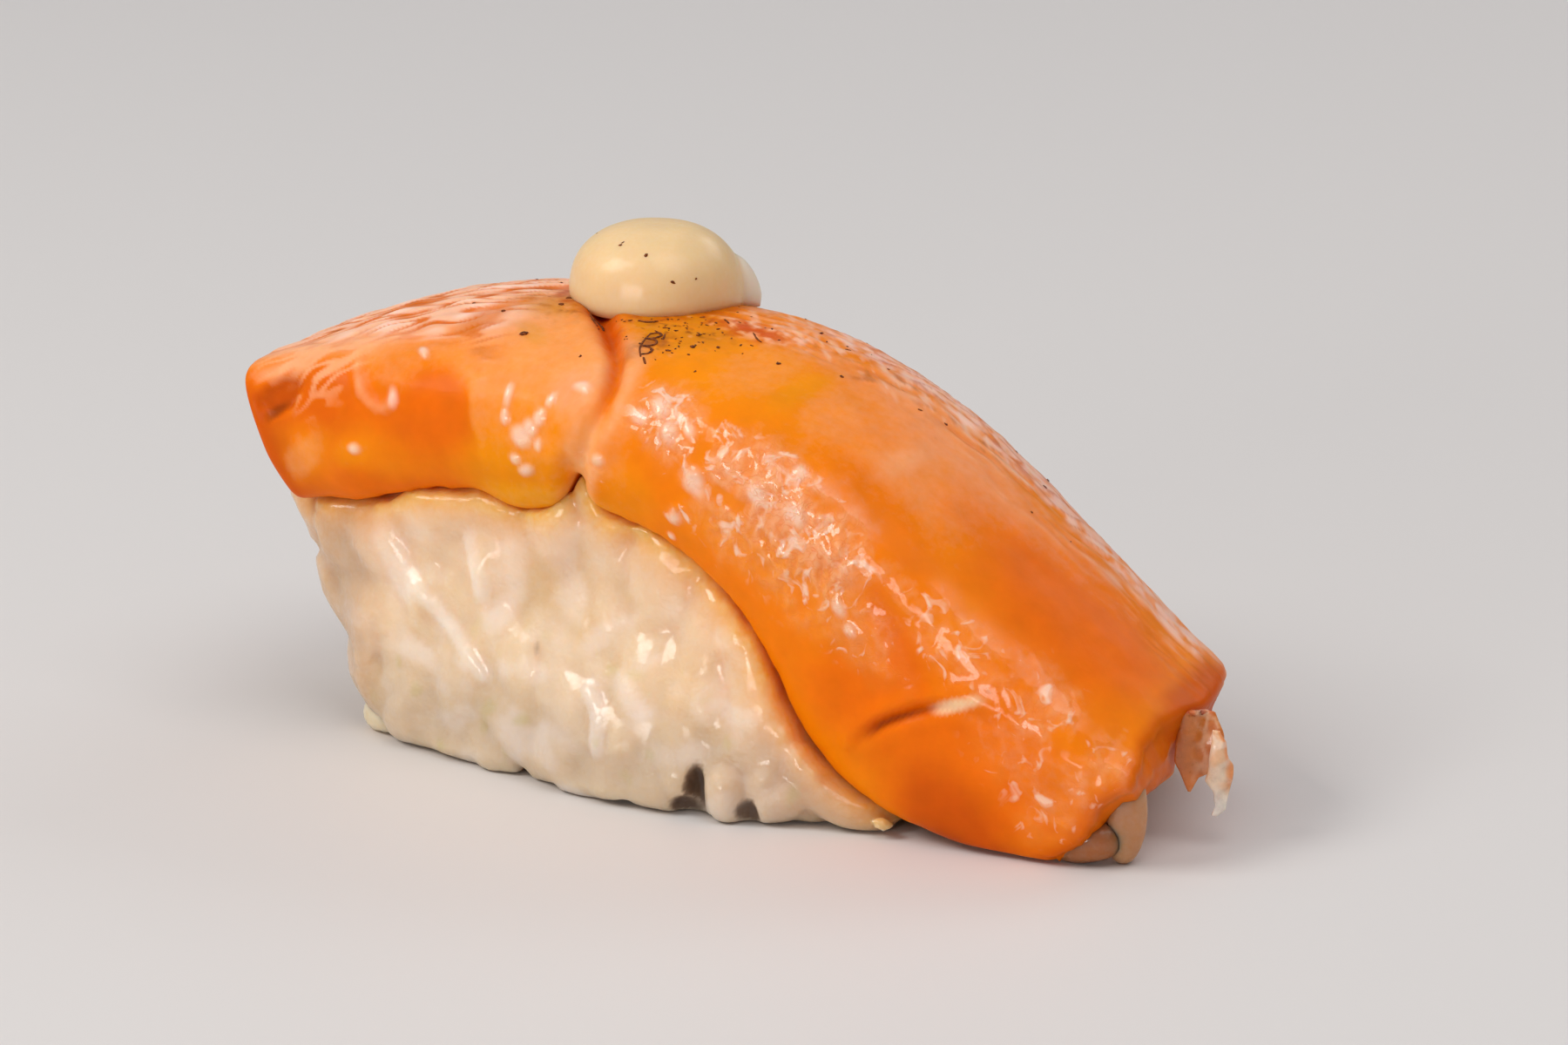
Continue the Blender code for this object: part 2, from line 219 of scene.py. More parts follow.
def mix(c, rgb, m):
    m = np.clip(m, 0, 1)[..., None]
    return c * (1 - m) + np.asarray(rgb) * m


def make(name, verts, faces, mat, attrs=None, colours=None, body="root", fix=True):
    """A mesh piece from layout millimetres; attrs are per-point numbers and
    colours per-point RGB."""
    me = bpy.data.meshes.new(name)
    v = (np.asarray(verts, float) - SHIFT) * MM
    me.from_pydata(v.tolist(), [], faces if isinstance(faces, list) else faces.tolist())
    for key, val in (attrs or {}).items():
        at = me.attributes.new(key, "FLOAT", "POINT")
        at.data.foreach_set("value", np.asarray(val, np.float32).ravel())
    for key, val in (colours or {}).items():
        at = me.attributes.new(key, "FLOAT_COLOR", "POINT")
        rgba = np.ones((len(v), 4), np.float32)
        rgba[:, :3] = np.clip(val, 0, 1)
        at.data.foreach_set("color", rgba.ravel())
    if fix:
        bm = bmesh.new()
        bm.from_mesh(me)
        bmesh.ops.recalc_face_normals(bm, faces=bm.faces)
        if bm.calc_volume(signed=True) < 0:
            bmesh.ops.reverse_faces(bm, faces=bm.faces)
        bm.to_mesh(me)
        bm.free()
    me.shade_smooth()
    me.materials.append(mat)
    ob = bpy.data.objects.new(name, me)
    bpy.context.scene.collection.objects.link(ob)
    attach(ob, body)
    return ob


def grid_faces(rows, cols, closed=False, start=0):
    r = np.arange(rows - 1)[:, None]
    c = np.arange(cols if closed else cols - 1)[None]
    n = (c + 1) % cols
    return (start + np.stack([r * cols + c, (r + 1) * cols + c, (r + 1) * cols + n,
                              r * cols + n], -1)).reshape(-1, 4)


# ============================================================ node materials
class Nodes:
    """Short way to build a procedural Principled material."""

    def __init__(self, name):
        self.mat = bpy.data.materials.new(name)
        self.mat.use_nodes = True
        self.tree = self.mat.node_tree
        self.bsdf = self.tree.nodes["Principled BSDF"]

    def set(self, **values):
        for key, val in values.items():
            self.bsdf.inputs[key.replace("_", " ")].default_value = val

    def new(self, kind, **props):
        n = self.tree.nodes.new(kind)
        for key, val in props.items():
            setattr(n, key, val)
        return n

    def link(self, a, b):
        self.tree.links.new(a, b)

    def attr(self, name, colour=False):
        n = self.new("ShaderNodeAttribute", attribute_name=name)
        return n.outputs["Color" if colour else "Fac"]

    def noise(self, per_mm, detail=2.0, rough=0.5, stretch=(1, 1, 1), distort=0.0,
              kind="ShaderNodeTexNoise"):
        co = self.new("ShaderNodeTexCoord")
        mp = self.new("ShaderNodeMapping")
        mp.inputs["Scale"].default_value = [1000.0 * s for s in stretch]
        n = self.new(kind)
        n.inputs["Scale"].default_value = per_mm
        if "Detail" in n.inputs:
            n.inputs["Detail"].default_value = detail
        if "Roughness" in n.inputs:
            n.inputs["Roughness"].default_value = rough
            n.inputs["Distortion"].default_value = distort
        self.link(co.outputs["Object"], mp.inputs["Vector"])
        self.link(mp.outputs["Vector"], n.inputs["Vector"])
        return n.outputs[0]

    def math(self, op, a, b=None, c=None, clamp=False):
        n = self.new("ShaderNodeMath", operation=op, use_clamp=clamp)
        for k, v in enumerate((a, b, c)):
            if v is None:
                continue
            if hasattr(v, "is_linked"):
                self.link(v, n.inputs[k])
            else:
                n.inputs[k].default_value = v
        return n.outputs[0]

    def span(self, v, lo, hi, to_lo, to_hi):
        n = self.new("ShaderNodeMapRange")
        for k, x in (("From Min", lo), ("From Max", hi), ("To Min", to_lo), ("To Max", to_hi)):
            n.inputs[k].default_value = x
        self.link(v, n.inputs["Value"])
        return n.outputs["Result"]

    def mix(self, fac, a, b, blend="MIX"):
        n = self.new("ShaderNodeMix", data_type="RGBA", blend_type=blend)
        for sock, v in ((n.inputs[0], fac), (n.inputs[6], a), (n.inputs[7], b)):
            if hasattr(v, "is_linked"):
                self.link(v, sock)
            else:
                sock.default_value = v if not hasattr(v, "__len__") else (*v, 1)[:4]
        return n.outputs[2]

    def bump(self, height, distance, strength=1.0, normal=None):
        n = self.new("ShaderNodeBump")
        n.inputs["Distance"].default_value = distance * MM
        if hasattr(strength, "is_linked"):
            self.link(strength, n.inputs["Strength"])
        else:
            n.inputs["Strength"].default_value = strength
        self.link(height, n.inputs["Height"])
        if normal is not None:
            self.link(normal, n.inputs["Normal"])
        return n.outputs["Normal"]

    def to(self, name, sock):
        self.link(sock, self.bsdf.inputs[name])


def salmon_material():
    m = Nodes("salmon_flesh")
    m.set(Subsurface_Weight=0.35, Subsurface_Radius=(1.0, 0.36, 0.10), Subsurface_Scale=0.0026,
          IOR=1.40, Specular_IOR_Level=0.12, Coat_Roughness=0.07)
    base = m.attr("flesh", colour=True)
    film = m.attr("film")
    glint = m.attr("glint")
    soft = m.noise(0.45, 3, 0.55)
    fine = m.noise(1.6, 4, 0.6)
    # puckers of the wet film: winding blotches and the thin gaps between them; the blotches are painted pale,
    # partly pale flesh and partly painted highlight
    blot = m.noise(0.74, 2.2, 0.5, distort=1.1)
    level = m.math("MULTIPLY_ADD", glint, -0.17, 0.63)
    lift = m.math("MULTIPLY", m.math("SUBTRACT", blot, level), 7.0, clamp=True)
    lift = m.math("MULTIPLY", lift, m.math("MULTIPLY", glint, 5.0, clamp=True), clamp=True)
    wind = m.noise(1.25, 2.0, 0.5, distort=1.4)
    line = m.math("SUBTRACT", 1.0, m.math("MULTIPLY", m.math("ABSOLUTE", m.math(
        "SUBTRACT", wind, 0.5)), 16.0), clamp=True)
    line = m.math("MULTIPLY", line, film)
    hsv = m.new("ShaderNodeHueSaturation")
    m.link(m.span(soft, 0.3, 0.7, 0.94, 1.05), hsv.inputs["Value"])
    m.link(m.span(fine, 0.3, 0.7, 1.0, 1.05), hsv.inputs["Saturation"])
    m.link(base, hsv.inputs["Color"])
    gap = m.mix(m.math("MULTIPLY", line, 0.40, clamp=True), hsv.outputs["Color"],
                srgb(240, 124, 26))
    pale = m.mix(m.math("MULTIPLY", lift, 0.84, clamp=True), gap, srgb(255, 206, 178))
    m.to("Base Color", pale)
    rough = m.span(fine, 0.3, 0.75, 0.36, 0.52)
    m.to("Roughness", m.math("SUBTRACT", rough, m.math("MULTIPLY", film, 0.10), clamp=True))
    wet = m.attr("wet")
    m.to("Coat Weight", m.math("MULTIPLY_ADD", wet, 0.85, 0.03, clamp=True))
    micro = m.noise(2.6, 4, 0.6)
    strands = m.noise(1.5, 3, 0.6, stretch=(0.35, 1.0, 1.0))
    n1 = m.bump(strands, 0.10, 0.25)
    n2 = m.bump(micro, 0.12, m.span(film, 0.0, 1.0, 0.10, 0.35), normal=n1)
    n3 = m.bump(line, 0.10, 0.35, normal=n2)
    n4 = m.bump(lift, 0.08, 0.45, normal=n3)
    m.to("Normal", n4)
    return m.mat


def rice_material(name="cooked_rice"):
    m = Nodes(name)
    m.set(Subsurface_Weight=1.0, Subsurface_Radius=(1.0, 0.80, 0.58), Subsurface_Scale=0.0028,
          IOR=1.40, Specular_IOR_Level=0.35, Coat_Roughness=0.06)
    base = m.attr("grain", colour=True)
    soft = m.noise(0.6, 2, 0.5)
    fine = m.noise(2.2, 3, 0.55)
    hsv = m.new("ShaderNodeHueSaturation")
    m.link(m.span(soft, 0.3, 0.7, 0.96, 1.03), hsv.inputs["Value"])
    m.link(m.span(fine, 0.3, 0.7, 0.95, 1.06), hsv.inputs["Saturation"])
    m.link(base, hsv.inputs["Color"])
    m.to("Base Color", hsv.outputs["Color"])
    m.to("Roughness", m.span(fine, 0.3, 0.7, 0.30, 0.50))
    # starch glaze, wetter in places
    m.to("Coat Weight", m.span(m.noise(0.35, 2, 0.5), 0.42, 0.62, 0.08, 0.75))
    n1 = m.bump(soft, 0.35, 0.30)
    n2 = m.bump(m.noise(1.1, 2, 0.5), 0.25, 0.45, normal=n1)
    n3 = m.bump(fine, 0.10, 0.30, normal=n2)
    m.to("Normal", n3)
    return m.mat


def mayo_material():
    m = Nodes("spicy_mayo")
    m.set(Subsurface_Weight=0.6, Subsurface_Radius=(1.0, 0.6, 0.3), Subsurface_Scale=0.0018,
          IOR=1.45, Specular_IOR_Level=0.35, Coat_Weight=0.35, Coat_Roughness=0.16)
    base = m.attr("sauce", colour=True)
    soft = m.noise(0.5, 2, 0.5)
    fine = m.noise(3.0, 3, 0.6)
    hsv = m.new("ShaderNodeHueSaturation")
    m.link(m.span(soft, 0.3, 0.7, 0.97, 1.03), hsv.inputs["Value"])
    m.link(m.span(fine, 0.3, 0.7, 0.96, 1.04), hsv.inputs["Saturation"])
    m.link(base, hsv.inputs["Color"])
    m.to("Base Color", hsv.outputs["Color"])
    m.to("Roughness", m.span(fine, 0.3, 0.7, 0.40, 0.52))
    m.to("Normal", m.bump(soft, 0.25, 0.18))
    return m.mat


def char_material():
    m = Nodes("char")
    m.set(IOR=1.45, Specular_IOR_Level=0.2)
    fine = m.noise(5.0, 3, 0.6)
    col = m.mix(m.span(fine, 0.35, 0.65, 0, 1), srgb(66, 26, 10), srgb(146, 76, 28))
    m.to("Base Color", col)
    m.to("Roughness", m.span(fine, 0.3, 0.7, 0.4, 0.6))
    m.to("Normal", m.bump(fine, 0.08, 0.5))
    return m.mat


def membrane_material():
    m = Nodes("salmon_membrane")
    m.set(Subsurface_Weight=0.30, Subsurface_Radius=(1.0, 0.6, 0.4), Subsurface_Scale=0.0006,
          IOR=1.4, Coat_Weight=0.5, Coat_Roughness=0.08)
    base = m.attr("flesh", colour=True)
    fine = m.noise(2.0, 3, 0.6)
    hsv = m.new("ShaderNodeHueSaturation")
    m.link(m.span(fine, 0.3, 0.7, 0.9, 1.08), hsv.inputs["Value"])
    m.link(base, hsv.inputs["Color"])
    m.to("Base Color", hsv.outputs["Color"])
    m.to("Roughness", m.span(fine, 0.3, 0.7, 0.25, 0.4))
    m.to("Normal", m.bump(fine, 0.12, 0.6))
    return m.mat


# ============================================================== salmon slab
def slab_middle(a):
    s = np.linspace(0, SLAB_LENGTH, 600)
    slope = (np.radians(RISE_ANGLE) * (1 - smooth(s, 0, RISE_RUN))
             - np.radians(FALL_ANGLE) * smooth(s, FALL_FROM, FALL_TO))
    step = s[1] - s[0]
    mid = (slope[1:] + slope[:-1]) / 2
    x = SLAB_START[0] + np.concatenate([[0], np.cumsum(np.cos(mid)) * step])
    z = SLAB_START[1] + np.concatenate([[0], np.cumsum(np.sin(mid)) * step])
    over = np.minimum(a, 0) + np.maximum(a - SLAB_LENGTH, 0)
    t = np.interp(a, s, slope)
    return (np.interp(a, s, x) + over * np.cos(t),
            np.interp(a, s, z) + over * np.sin(t), t)


def place(a, b, n):
    along = (a - END_SKEW * b / 12 * smooth(a, 25, SLAB_LENGTH)
             + END_BULGE * bell(b, END_BULGE_AT, 5.0) * smooth(a, SLAB_LENGTH - 14, SLAB_LENGTH))
    x, z, t = slab_middle(along)
    return np.stack([x - np.sin(t) * n, b + 0 * x, z + np.cos(t) * n], -1)


def slab_sections(a, shares):
    """Points of the slab's sections at shares of the way round them."""
    thick = track(THICKNESS, a)
    depth_f = (track(DEPTH_FRONT, a) - NOTCH_DEPTH * bell(a, NOTCH_AT, NOTCH_WIDTH)
               + LOBE_DROP * bell(a, LOBE_AT, LOBE_WIDTH))

    def side(sign, half, crown, depth):
        return [(sign * 0.42 * half, -0.10 * crown), (sign * 0.80 * half, -0.55 * crown),
                (sign * 1.02 * half, -1.15 * crown),
                (sign * 1.06 * half, -(0.55 * crown + 0.45 * depth)),
                (sign * 1.04 * half, -(0.12 * crown + 0.90 * depth)),
                (sign * 0.99 * half, -1.03 * depth), (sign * 0.80 * half, -1.01 * depth),
                (sign * 0.66 * half, -(thick + 0.55 * (depth - thick))),
                (sign * 0.36 * half, -(thick + 0.15 * (depth - thick)))]

    front = side(-1, track(HALF_FRONT, a), track(CROWN_FRONT, a), depth_f)
    back = side(1, track(HALF_BACK, a), track(CROWN_BACK, a), track(DEPTH_BACK, a))
    ring = [(0 * a, 0 * a)] + front + [(0 * a, -thick)] + back[::-1]
    ctrl = np.stack([np.stack(p, -1) for p in ring], -2)
    m = ctrl.shape[-2]
    t = (np.asarray(shares) % 1.0) * m
    i = t.astype(int)
    f = (t - i)[:, None]
    c = [ctrl[..., (i + k - 1) % m, :] for k in range(4)]
    w = [(1 - f) ** 3 / 6, (3 * f**3 - 6 * f**2 + 4) / 6,
         (-3 * f**3 + 3 * f**2 + 3 * f + 1) / 6, f**3 / 6]
    return sum(c[k] * w[k] for k in range(4))


BACK_N, FRONT_N, UNDER_N = 100, 140, 60
OUTER = BACK_N + FRONT_N + 1


def ring_shares():
    """Even steps over the back side, the front side and the underside."""
    def even(lo, hi, count):
        s = np.linspace(lo, hi, 400)
        p = slab_sections(np.array([45.0]), s)[0]
        d = np.concatenate([[0], np.cumsum(np.linalg.norm(np.diff(p, axis=0), axis=1))])
        return np.interp(np.linspace(0, d[-1], count + 1), d, s)
    back = even(-0.30, 0.0, BACK_N)
    front = even(0.0, 0.30, FRONT_N)
    under = even(0.30, 0.70, UNDER_N)
    return np.concatenate([back, front[1:], under[1:-1]])


# Puckered wet film on the face, its peach and pale colour partly painted highlight: (along, round), half sizes,
# turn, film, glint
PUCKERS = (
    ((33.8, 12.8), (3.0, 2.2), 30, 0.7, 1.0), ((36.8, 15.6), (1.1, 1.0), 0, 0.6, 1.1),
    ((36.3, 18.3), (1.1, 0.7), -20, 0.4, 1.0), ((38.4, 12.2), (1.4, 0.6), 0, 0.5, 0.9),
    ((41.6, 15.5), (4.4, 3.8), 0, 0.85, 0.56), ((44.6, 13.8), (4.8, 1.9), 12, 1.0, 0.8),
    ((47.4, 15.9), (5.0, 3.7), 14, 1.0, 0.62), ((52.6, 17.0), (4.2, 2.2), 8, 0.55, 0.40),
    ((45.0, 18.2), (6.0, 1.7), 0, 0.55, 0.36), ((53.2, 13.3), (2.8, 0.9), 8, 0.35, 0.2),
    ((56.4, 13.0), (1.6, 1.9), -20, 0.28, 0.5), ((59.8, 13.0), (3.4, 2.0), 0, 0.34, 0.46),
    ((57.8, 14.6), (2.4, 0.8), 0, 0.4, 0.5), ((62.6, 10.9), (2.4, 1.4), 0, 0.25, 0.36),
    ((64.9, 12.2), (1.8, 2.4), 20, 0.5, 0.45), ((66.2, 15.8), (4.2, 2.2), 0, 0.25, 0.26),
    ((69.4, 13.2), (2.0, 3.0), 0, 0.42, 0.50), ((68.8, 17.2), (1.6, 2.0), 0, 0.4, 0.5),
    ((23.5, 15.6), (1.6, 2.5), -14, 0.25, 0.0), ((28.7, 16.8), (1.3, 0.8), 0, 0.3, 0.5),
    # the far side has its own
    ((14.0, -11.5), (4.0, 2.2), -10, 0.8, 0.6), ((25.5, -13.5), (4.6, 2.6), 8, 0.9, 0.65),
    ((39.0, -14.0), (6.0, 2.4), -5, 1.0, 0.6), ((52.0, -12.5), (5.0, 2.6), 10, 0.9, 0.55),
    ((64.0, -13.5), (4.5, 2.4), 0, 0.7, 0.5), ((7.0, -15.5), (2.5, 1.4), 0, 0.4, 0.5),
)
# Small raised wet spots painted near white as glints, a painted highlight: (along, round), half sizes, turn
GLINT_DROPS = (
    ((12.7, 13.9), (0.38, 0.62), -10), ((23.4, 15.5), (0.64, 0.58), 30),
    ((23.9, 14.9), (0.50, 0.45), 60), ((21.9, 13.0), (0.26, 0.70), -6),
    ((22.0, 14.4), (0.22, 0.40), -6), ((24.5, 14.2), (0.36, 0.52), 20),
    ((25.1, 13.0), (0.26, 0.46), 20), ((23.7, 17.6), (0.46, 0.34), -20),
    ((22.9, 17.0), (0.36, 0.30), 30), ((24.6, 15.9), (0.24, 0.40), 0),
    ((27.0, 11.9), (0.60, 0.34), 10), ((8.5, 17.3), (0.50, 0.34), -10),
    ((14.3, 10.7), (0.50, 0.26), 40), ((29.2, 16.2), (0.42, 0.34), 0),
    ((37.2, 15.8), (0.80, 0.75), 20), ((36.0, 18.6), (0.58, 0.42), -20),
    ((35.6, 20.2), (0.34, 0.22), 0), ((33.0, 12.2), (0.80, 0.50), 25),
    ((34.3, 13.4), (0.70, 0.60), 40), ((31.9, 13.0), (0.50, 0.40), 0),
    ((35.6, 13.0), (0.55, 0.34), 30), ((42.2, 14.6), (0.70, 0.46), 20),
    ((45.3, 14.3), (0.80, 0.50), 10), ((51.4, 17.1), (0.60, 0.36), 10),
    ((52.9, 17.6), (0.42, 0.30), 0), ((44.0, 12.2), (0.50, 0.36), 20),
)
# Lower limit of the pale film that covers the top of the left lobe; the film's paleness is partly painted sheen
FILM_EDGE = ((0, 11.2), (2.5, 10.6), (5.0, 10.8), (8.0, 11.0), (11.0, 11.6), (14.0, 11.4), (17.0, 11.4),
             (18.8, 12.8), (19.6, 15.0), (20.4, 17.4), (22.0, 18.4), (25.0, 18.0), (28.0, 16.5))
FOLD = ((8.7, 9.6), (9.3, 11.6), (10.0, 13.6), (11.2, 14.6), (12.3, 14.5))


def face_relief(a, w, pos):
    """Height added along the normals of the slab's outer face, and the masks
    that the colours use."""
    k = {}
    face = flat3(a, w)
    wob = fbm(face, 5.0, 3)
    quick = fbm(face, 1.6, 4, 2)
    # slow unevenness of the flesh
    h = 0.22 * fbm(pos, 9.0, 11, 2) + 0.12 * fbm(pos, 3.4, 21, 2)

    # muscle seam: a groove whose left lip stands over it
    d, side, t = near_path(a + 0.25 * wob + 0.12 * quick, w, SEAM)
    depth = 0.80 * smooth(t, 0.0, 0.12) * (1 - 0.65 * smooth(t, 0.4, 0.8))
    width = 0.46 + 0.26 * bell(t, 0.12, 0.18)
    h -= depth * np.exp(-(d / width) ** 2)
    h += 0.24 * np.exp(-((d - 1.4) / 0.9) ** 2) * smooth(t, 0.02, 0.15) * np.where(side > 0, 1.0, 0.5)
    k["seam"] = np.exp(-(d / (width * 1.25)) ** 2) * smooth(t, 0.0, 0.05)
    k["seam_near"] = np.exp(-(d / 2.2) ** 2)
    k["seam_t"], k["seam_side"], k["seam_d"] = t, side, d

    # shoulder of the right lobe, a soft change of slope
    d, side, t = near_path(a, w + 0.5 * wob, SHOULDER)
    h += (0.22 + 0.12 * wob) * np.exp(-(d / 2.6) ** 2) * smooth(t, 0, 0.15) * (1 - smooth(t, 0.7, 1.0))

    film, glint = 0.0 * a, 0.0 * a
    for at, size, turn, f_, g_ in PUCKERS:
        m = blob(a, w, at, size, turn, 0.45, 0.30 * quick + 0.2 * wob)
        film = np.maximum(film, f_ * m)
        glint = np.maximum(glint, g_ * m)
    film = film * smooth(fbm(face, 2.4, 5) + 0.42, 0.0, 0.45)
    glint = glint * (0.80 + 0.35 * fbm(face, 3.0, 6))
    warp = np.stack([noise(face, 1.7, 31), noise(face, 1.7, 32), 0 * a], -1) * 0.8
    c1 = ridged(face * (1.0, 1.2, 1) + warp, 1.8, 41)
    c2 = ridged(face * (1.2, 1.0, 1) + warp, 1.0, 43)
    net = 0.5 * c1 + 0.5 * c2
    h += film * (0.26 * net - 0.08 + 0.20 * fbm(face + warp, 1.9, 44))
    h += 0.16 * np.clip(glint, 0, 1) * smooth(fbm(face + 0.6 * warp, 1.3, 45), -0.1, 0.35)
    # raised wet spots; their near-white colour further on is a painted highlight
    drops = 0.0 * a
    for at, size, turn in GLINT_DROPS:
        drops = np.maximum(drops, blob(a, w, at, size, turn, 0.7, 0.45 * quick))
    h += 0.15 * drops
    glint = glint * (1 - drops)
    k["film"], k["glint"], k["net"], k["drops"] = film, glint, net, drops
    k["wet"] = np.clip(0.9 * film + 0.9 * glint + 0.9 * drops, 0, 1)

    # long fine wrinkles of the seared skin side along the ridge
    top = smooth(w, -13, -8) * (1 - smooth(w, 0.8, 3.6)) * smooth(a, 27, 31)
    rise = np.interp(a, [p[0] for p in FILM_EDGE], [p[1] for p in FILM_EDGE])
    top_left = smooth(w, -13, -8) * (1 - smooth(w - rise, -4.0, -0.6)) * (1 - smooth(a, 16, 21))
    lines = flat3(a * 0.24, w + 0.16 * a + 0.7 * noise(face, 4.0, 51))
    lines_l = flat3((a * 0.90 - w * 0.44) * 0.30, w * 0.90 + a * 0.44 + 0.8 * noise(face, 3.5, 52))
    wr = fbm(lines, 0.85, 53, 2)
    wl = fbm(lines_l, 1.0, 55, 2)
    rr = ridged(lines, 1.1, 54)
    rl = ridged(lines_l, 1.15, 56)
    h += top * (0.12 * wr + 0.10 * rr - 0.04) + top_left * (0.12 * wl - 0.17 * rl + 0.06)
    k["top"], k["top_left"], k["wr"], k["wl"], k["rr"], k["rl"] = top, top_left, wr, wl, rr, rl

    # the crease at the hanging end: a sharp step under a rolled lip
    d, side, t = near_path(a + 0.15 * wob + 0.08 * quick, w, CREASE)
    cut = (1 - smooth(t, 0.30, 0.50)) * smooth(t, 0.0, 0.14)
    h -= 0.50 * cut * np.exp(-(d / 0.30) ** 2)
    h += 0.26 * np.exp(-((d - 0.7) / 0.6) ** 2) * np.where(side < 0, 1.0, 0.3) * (1 - smooth(t, 0.5, 0.8))
    h -= 0.10 * np.exp(-(d / 1.0) ** 2) * smooth(t, 0.4, 0.6)
    k["crease"] = np.exp(-(d / 0.30) ** 2) * cut
    k["crease_d"], k["crease_side"], k["crease_t"] = d, side, t
    d, side, t = near_path(a, w, VALLEY)
    h -= 0.20 * np.exp(-(d / 1.0) ** 2)
    k["valley"] = np.exp(-(d / 1.1) ** 2)

    # the left lobe's film ends in a soft ledge; the corner is dented
    past = w - rise - 0.5 * quick
    left = 1 - smooth(a, 18.5, 22.5)
    ledge = left * smooth(w, -2, 4)
    h += 0.16 * ledge * (1 - smooth(past, -1.0, 0.9))
    d, side, t = near_path(a, w + 0.2 * quick, FOLD)
    fold = np.exp(-(d / 0.42) ** 2) * smooth(t, 0.0, 0.25)
    h += 0.10 * fold - 0.12 * np.exp(-((d - 0.8) / 0.5) ** 2) * np.where(side < 0, 1.0, 0.4) * smooth(t, 0, 0.3)
    k["fold"] = fold
    tri = blob(a, w, (2.9, 13.2), (2.1, 1.1), -28, 0.4, 0.4 * quick)
    h -= 0.45 * tri
    k["rise"], k["past"], k["left"], k["tri"] = rise, past, left, tri
    return h, k


def flesh_colour(a, w, pos, k):
    """Linear colour of the slab's outer face."""
    face = flat3(a, w)
    n1, n2, n3 = fbm(face, 6.0, 61), fbm(face, 2.5, 62), fbm(face, 1.0, 63)
    c = np.zeros(a.shape + (3,)) + srgb(244, 132, 12)

    def stain(rgb, amount, at, size, turn=0, soft=0.6, warp=0.3, by=None):
        nonlocal c
        m = amount * blob(a, w, at, size, turn, soft, warp * n1 + 0.6 * warp * n2)
        c = mix(c, srgb(*rgb), m if by is None else m * by)

    deep, clear = (238, 108, 0), (246, 126, 0)
    peach, pink = (249, 154, 84), (249, 180, 142)
    # right lobe, from the seam to the hanging end
    stain((248, 146, 34), 0.8, (35, 6.5), (6, 4.5))
    stain(peach, 0.55, (36.6, 6.6), (2.2, 3.4), 10)
    stain(peach, 0.60, (42.4, 6.6), (2.0, 3.8), -8)
    stain((242, 148, 16), 0.55, (39.9, 6.0), (0.9, 3.0), 8)
    stain((250, 152, 90), 0.85, (49.6, 5.0), (6.4, 5.2), 0)
    stain((250, 172, 124), 0.50, (48.0, 6.4), (0.8, 2.8), 12, by=smooth(n2, -0.5, 0.2))
    stain((238, 118, 22), 0.65, (50.5, 11.2), (5.6, 1.8), 10)
    stain(deep, 0.95, (61.6, 5.6), (7.6, 5.6), 0)
    stain(deep, 0.85, (64.0, 18.5), (7.0, 5.0), 0)
    stain(clear, 0.8, (33.0, 17.0), (4.4, 2.6))
    stain((247, 144, 38), 0.85, (31.2, 18.4), (2.6, 2.4))
    stain(clear, 1.0, (45.0, 22.0), (12.0, 3.2))
    stain(deep, 0.8, (55.5, 19.5), (3.2, 4.0))
    # painted shade: darker orange to brown below the crease, where the hanging end faces down
    stain((206, 84, 0), 0.9, (65.2, 22.6), (4.6, 2.8))
    stain((150, 58, 4), 0.5, (66.5, 24.0), (3.0, 1.4))
    stain(peach, 0.7, (29.6, 12.6), (1.6, 4.6), -12)
    stain((246, 166, 112), 0.6, (28.6, 8.6), (1.0, 2.4), -25)
    stain((250, 156, 100), 0.55, (47.0, 1.6), (13.0, 2.2), 0)
    # left lobe: pale film above, partly seared skin and partly painted sheen of the light on the top; clear flesh
    # below its edge
    soft_edge = smooth(k["past"] - 0.5 * n2, -1.3, 1.4)
    below = k["left"] * soft_edge
    c = mix(c, srgb(238, 112, 0), below * 0.95)
    stain((246, 138, 22), 0.75, (12.0, 17.6), (6.5, 1.6), 3, by=k["left"])
    stain((250, 150, 50), 0.60, (8.0, 17.6), (1.6, 0.8), -12, by=k["left"])
    stain((234, 107, 0), 0.95, (15.4, 14.8), (3.8, 3.2), 0, by=below)
    stain((224, 98, 2), 0.8, (6.4, 13.8), (2.8, 2.2), 0, by=below)
    stain((220, 96, 2), 0.7, (2.0, 16.0), (2.2, 3.4), 0, by=k["left"])
    stain((246, 136, 26), 0.7, (3.2, 17.4), (2.6, 2.0), 0, by=k["left"])
    # painted sheen: the top above the film's edge is painted peach to pinkish white, partly seared skin
    above = smooth(w, -12, -8) * (1 - soft_edge) * (1 - smooth(a, 26, 29))
    far = smooth(11.8 - w - 0.22 * np.maximum(a - 13, 0) + 0.8 * n2, 0.0, 4.5)
    c = mix(c, srgb(*peach), 0.9 * above * (1 - far))
    c = mix(c, srgb(249, 190, 158), 0.95 * above * far * (1 - smooth(a, 18, 25)))
    stain((240, 140, 66), 0.8, (12.6, 11.8), (2.2, 1.7), -10, 0.6, 0.3, by=k["left"])
    c = mix(c, srgb(250, 178, 132), 0.42 * k["fold"])
    stain((206, 92, 8), 0.6, (1.2, 17.4), (1.6, 2.4), 0, 0.6, 0.3)
    stain((250, 160, 92), 0.9, (23.4, 8.6), (4.4, 4.8), 10)
    stain((247, 146, 46), 0.8, (23.8, 15.2), (3.4, 2.6), 0)
    stain((249, 168, 118), 0.7, (26.4, 12.0), (1.6, 1.8), 0)
    stain((244, 142, 60), 0.55, (14.6, 9.8), (3.2, 1.8), -25, by=above)
    stain((240, 146, 28), 0.85, (22.4, 18.0), (4.0, 2.2))
    stain((246, 168, 64), 0.7, (24.5, 19.8), (4.5, 1.0))
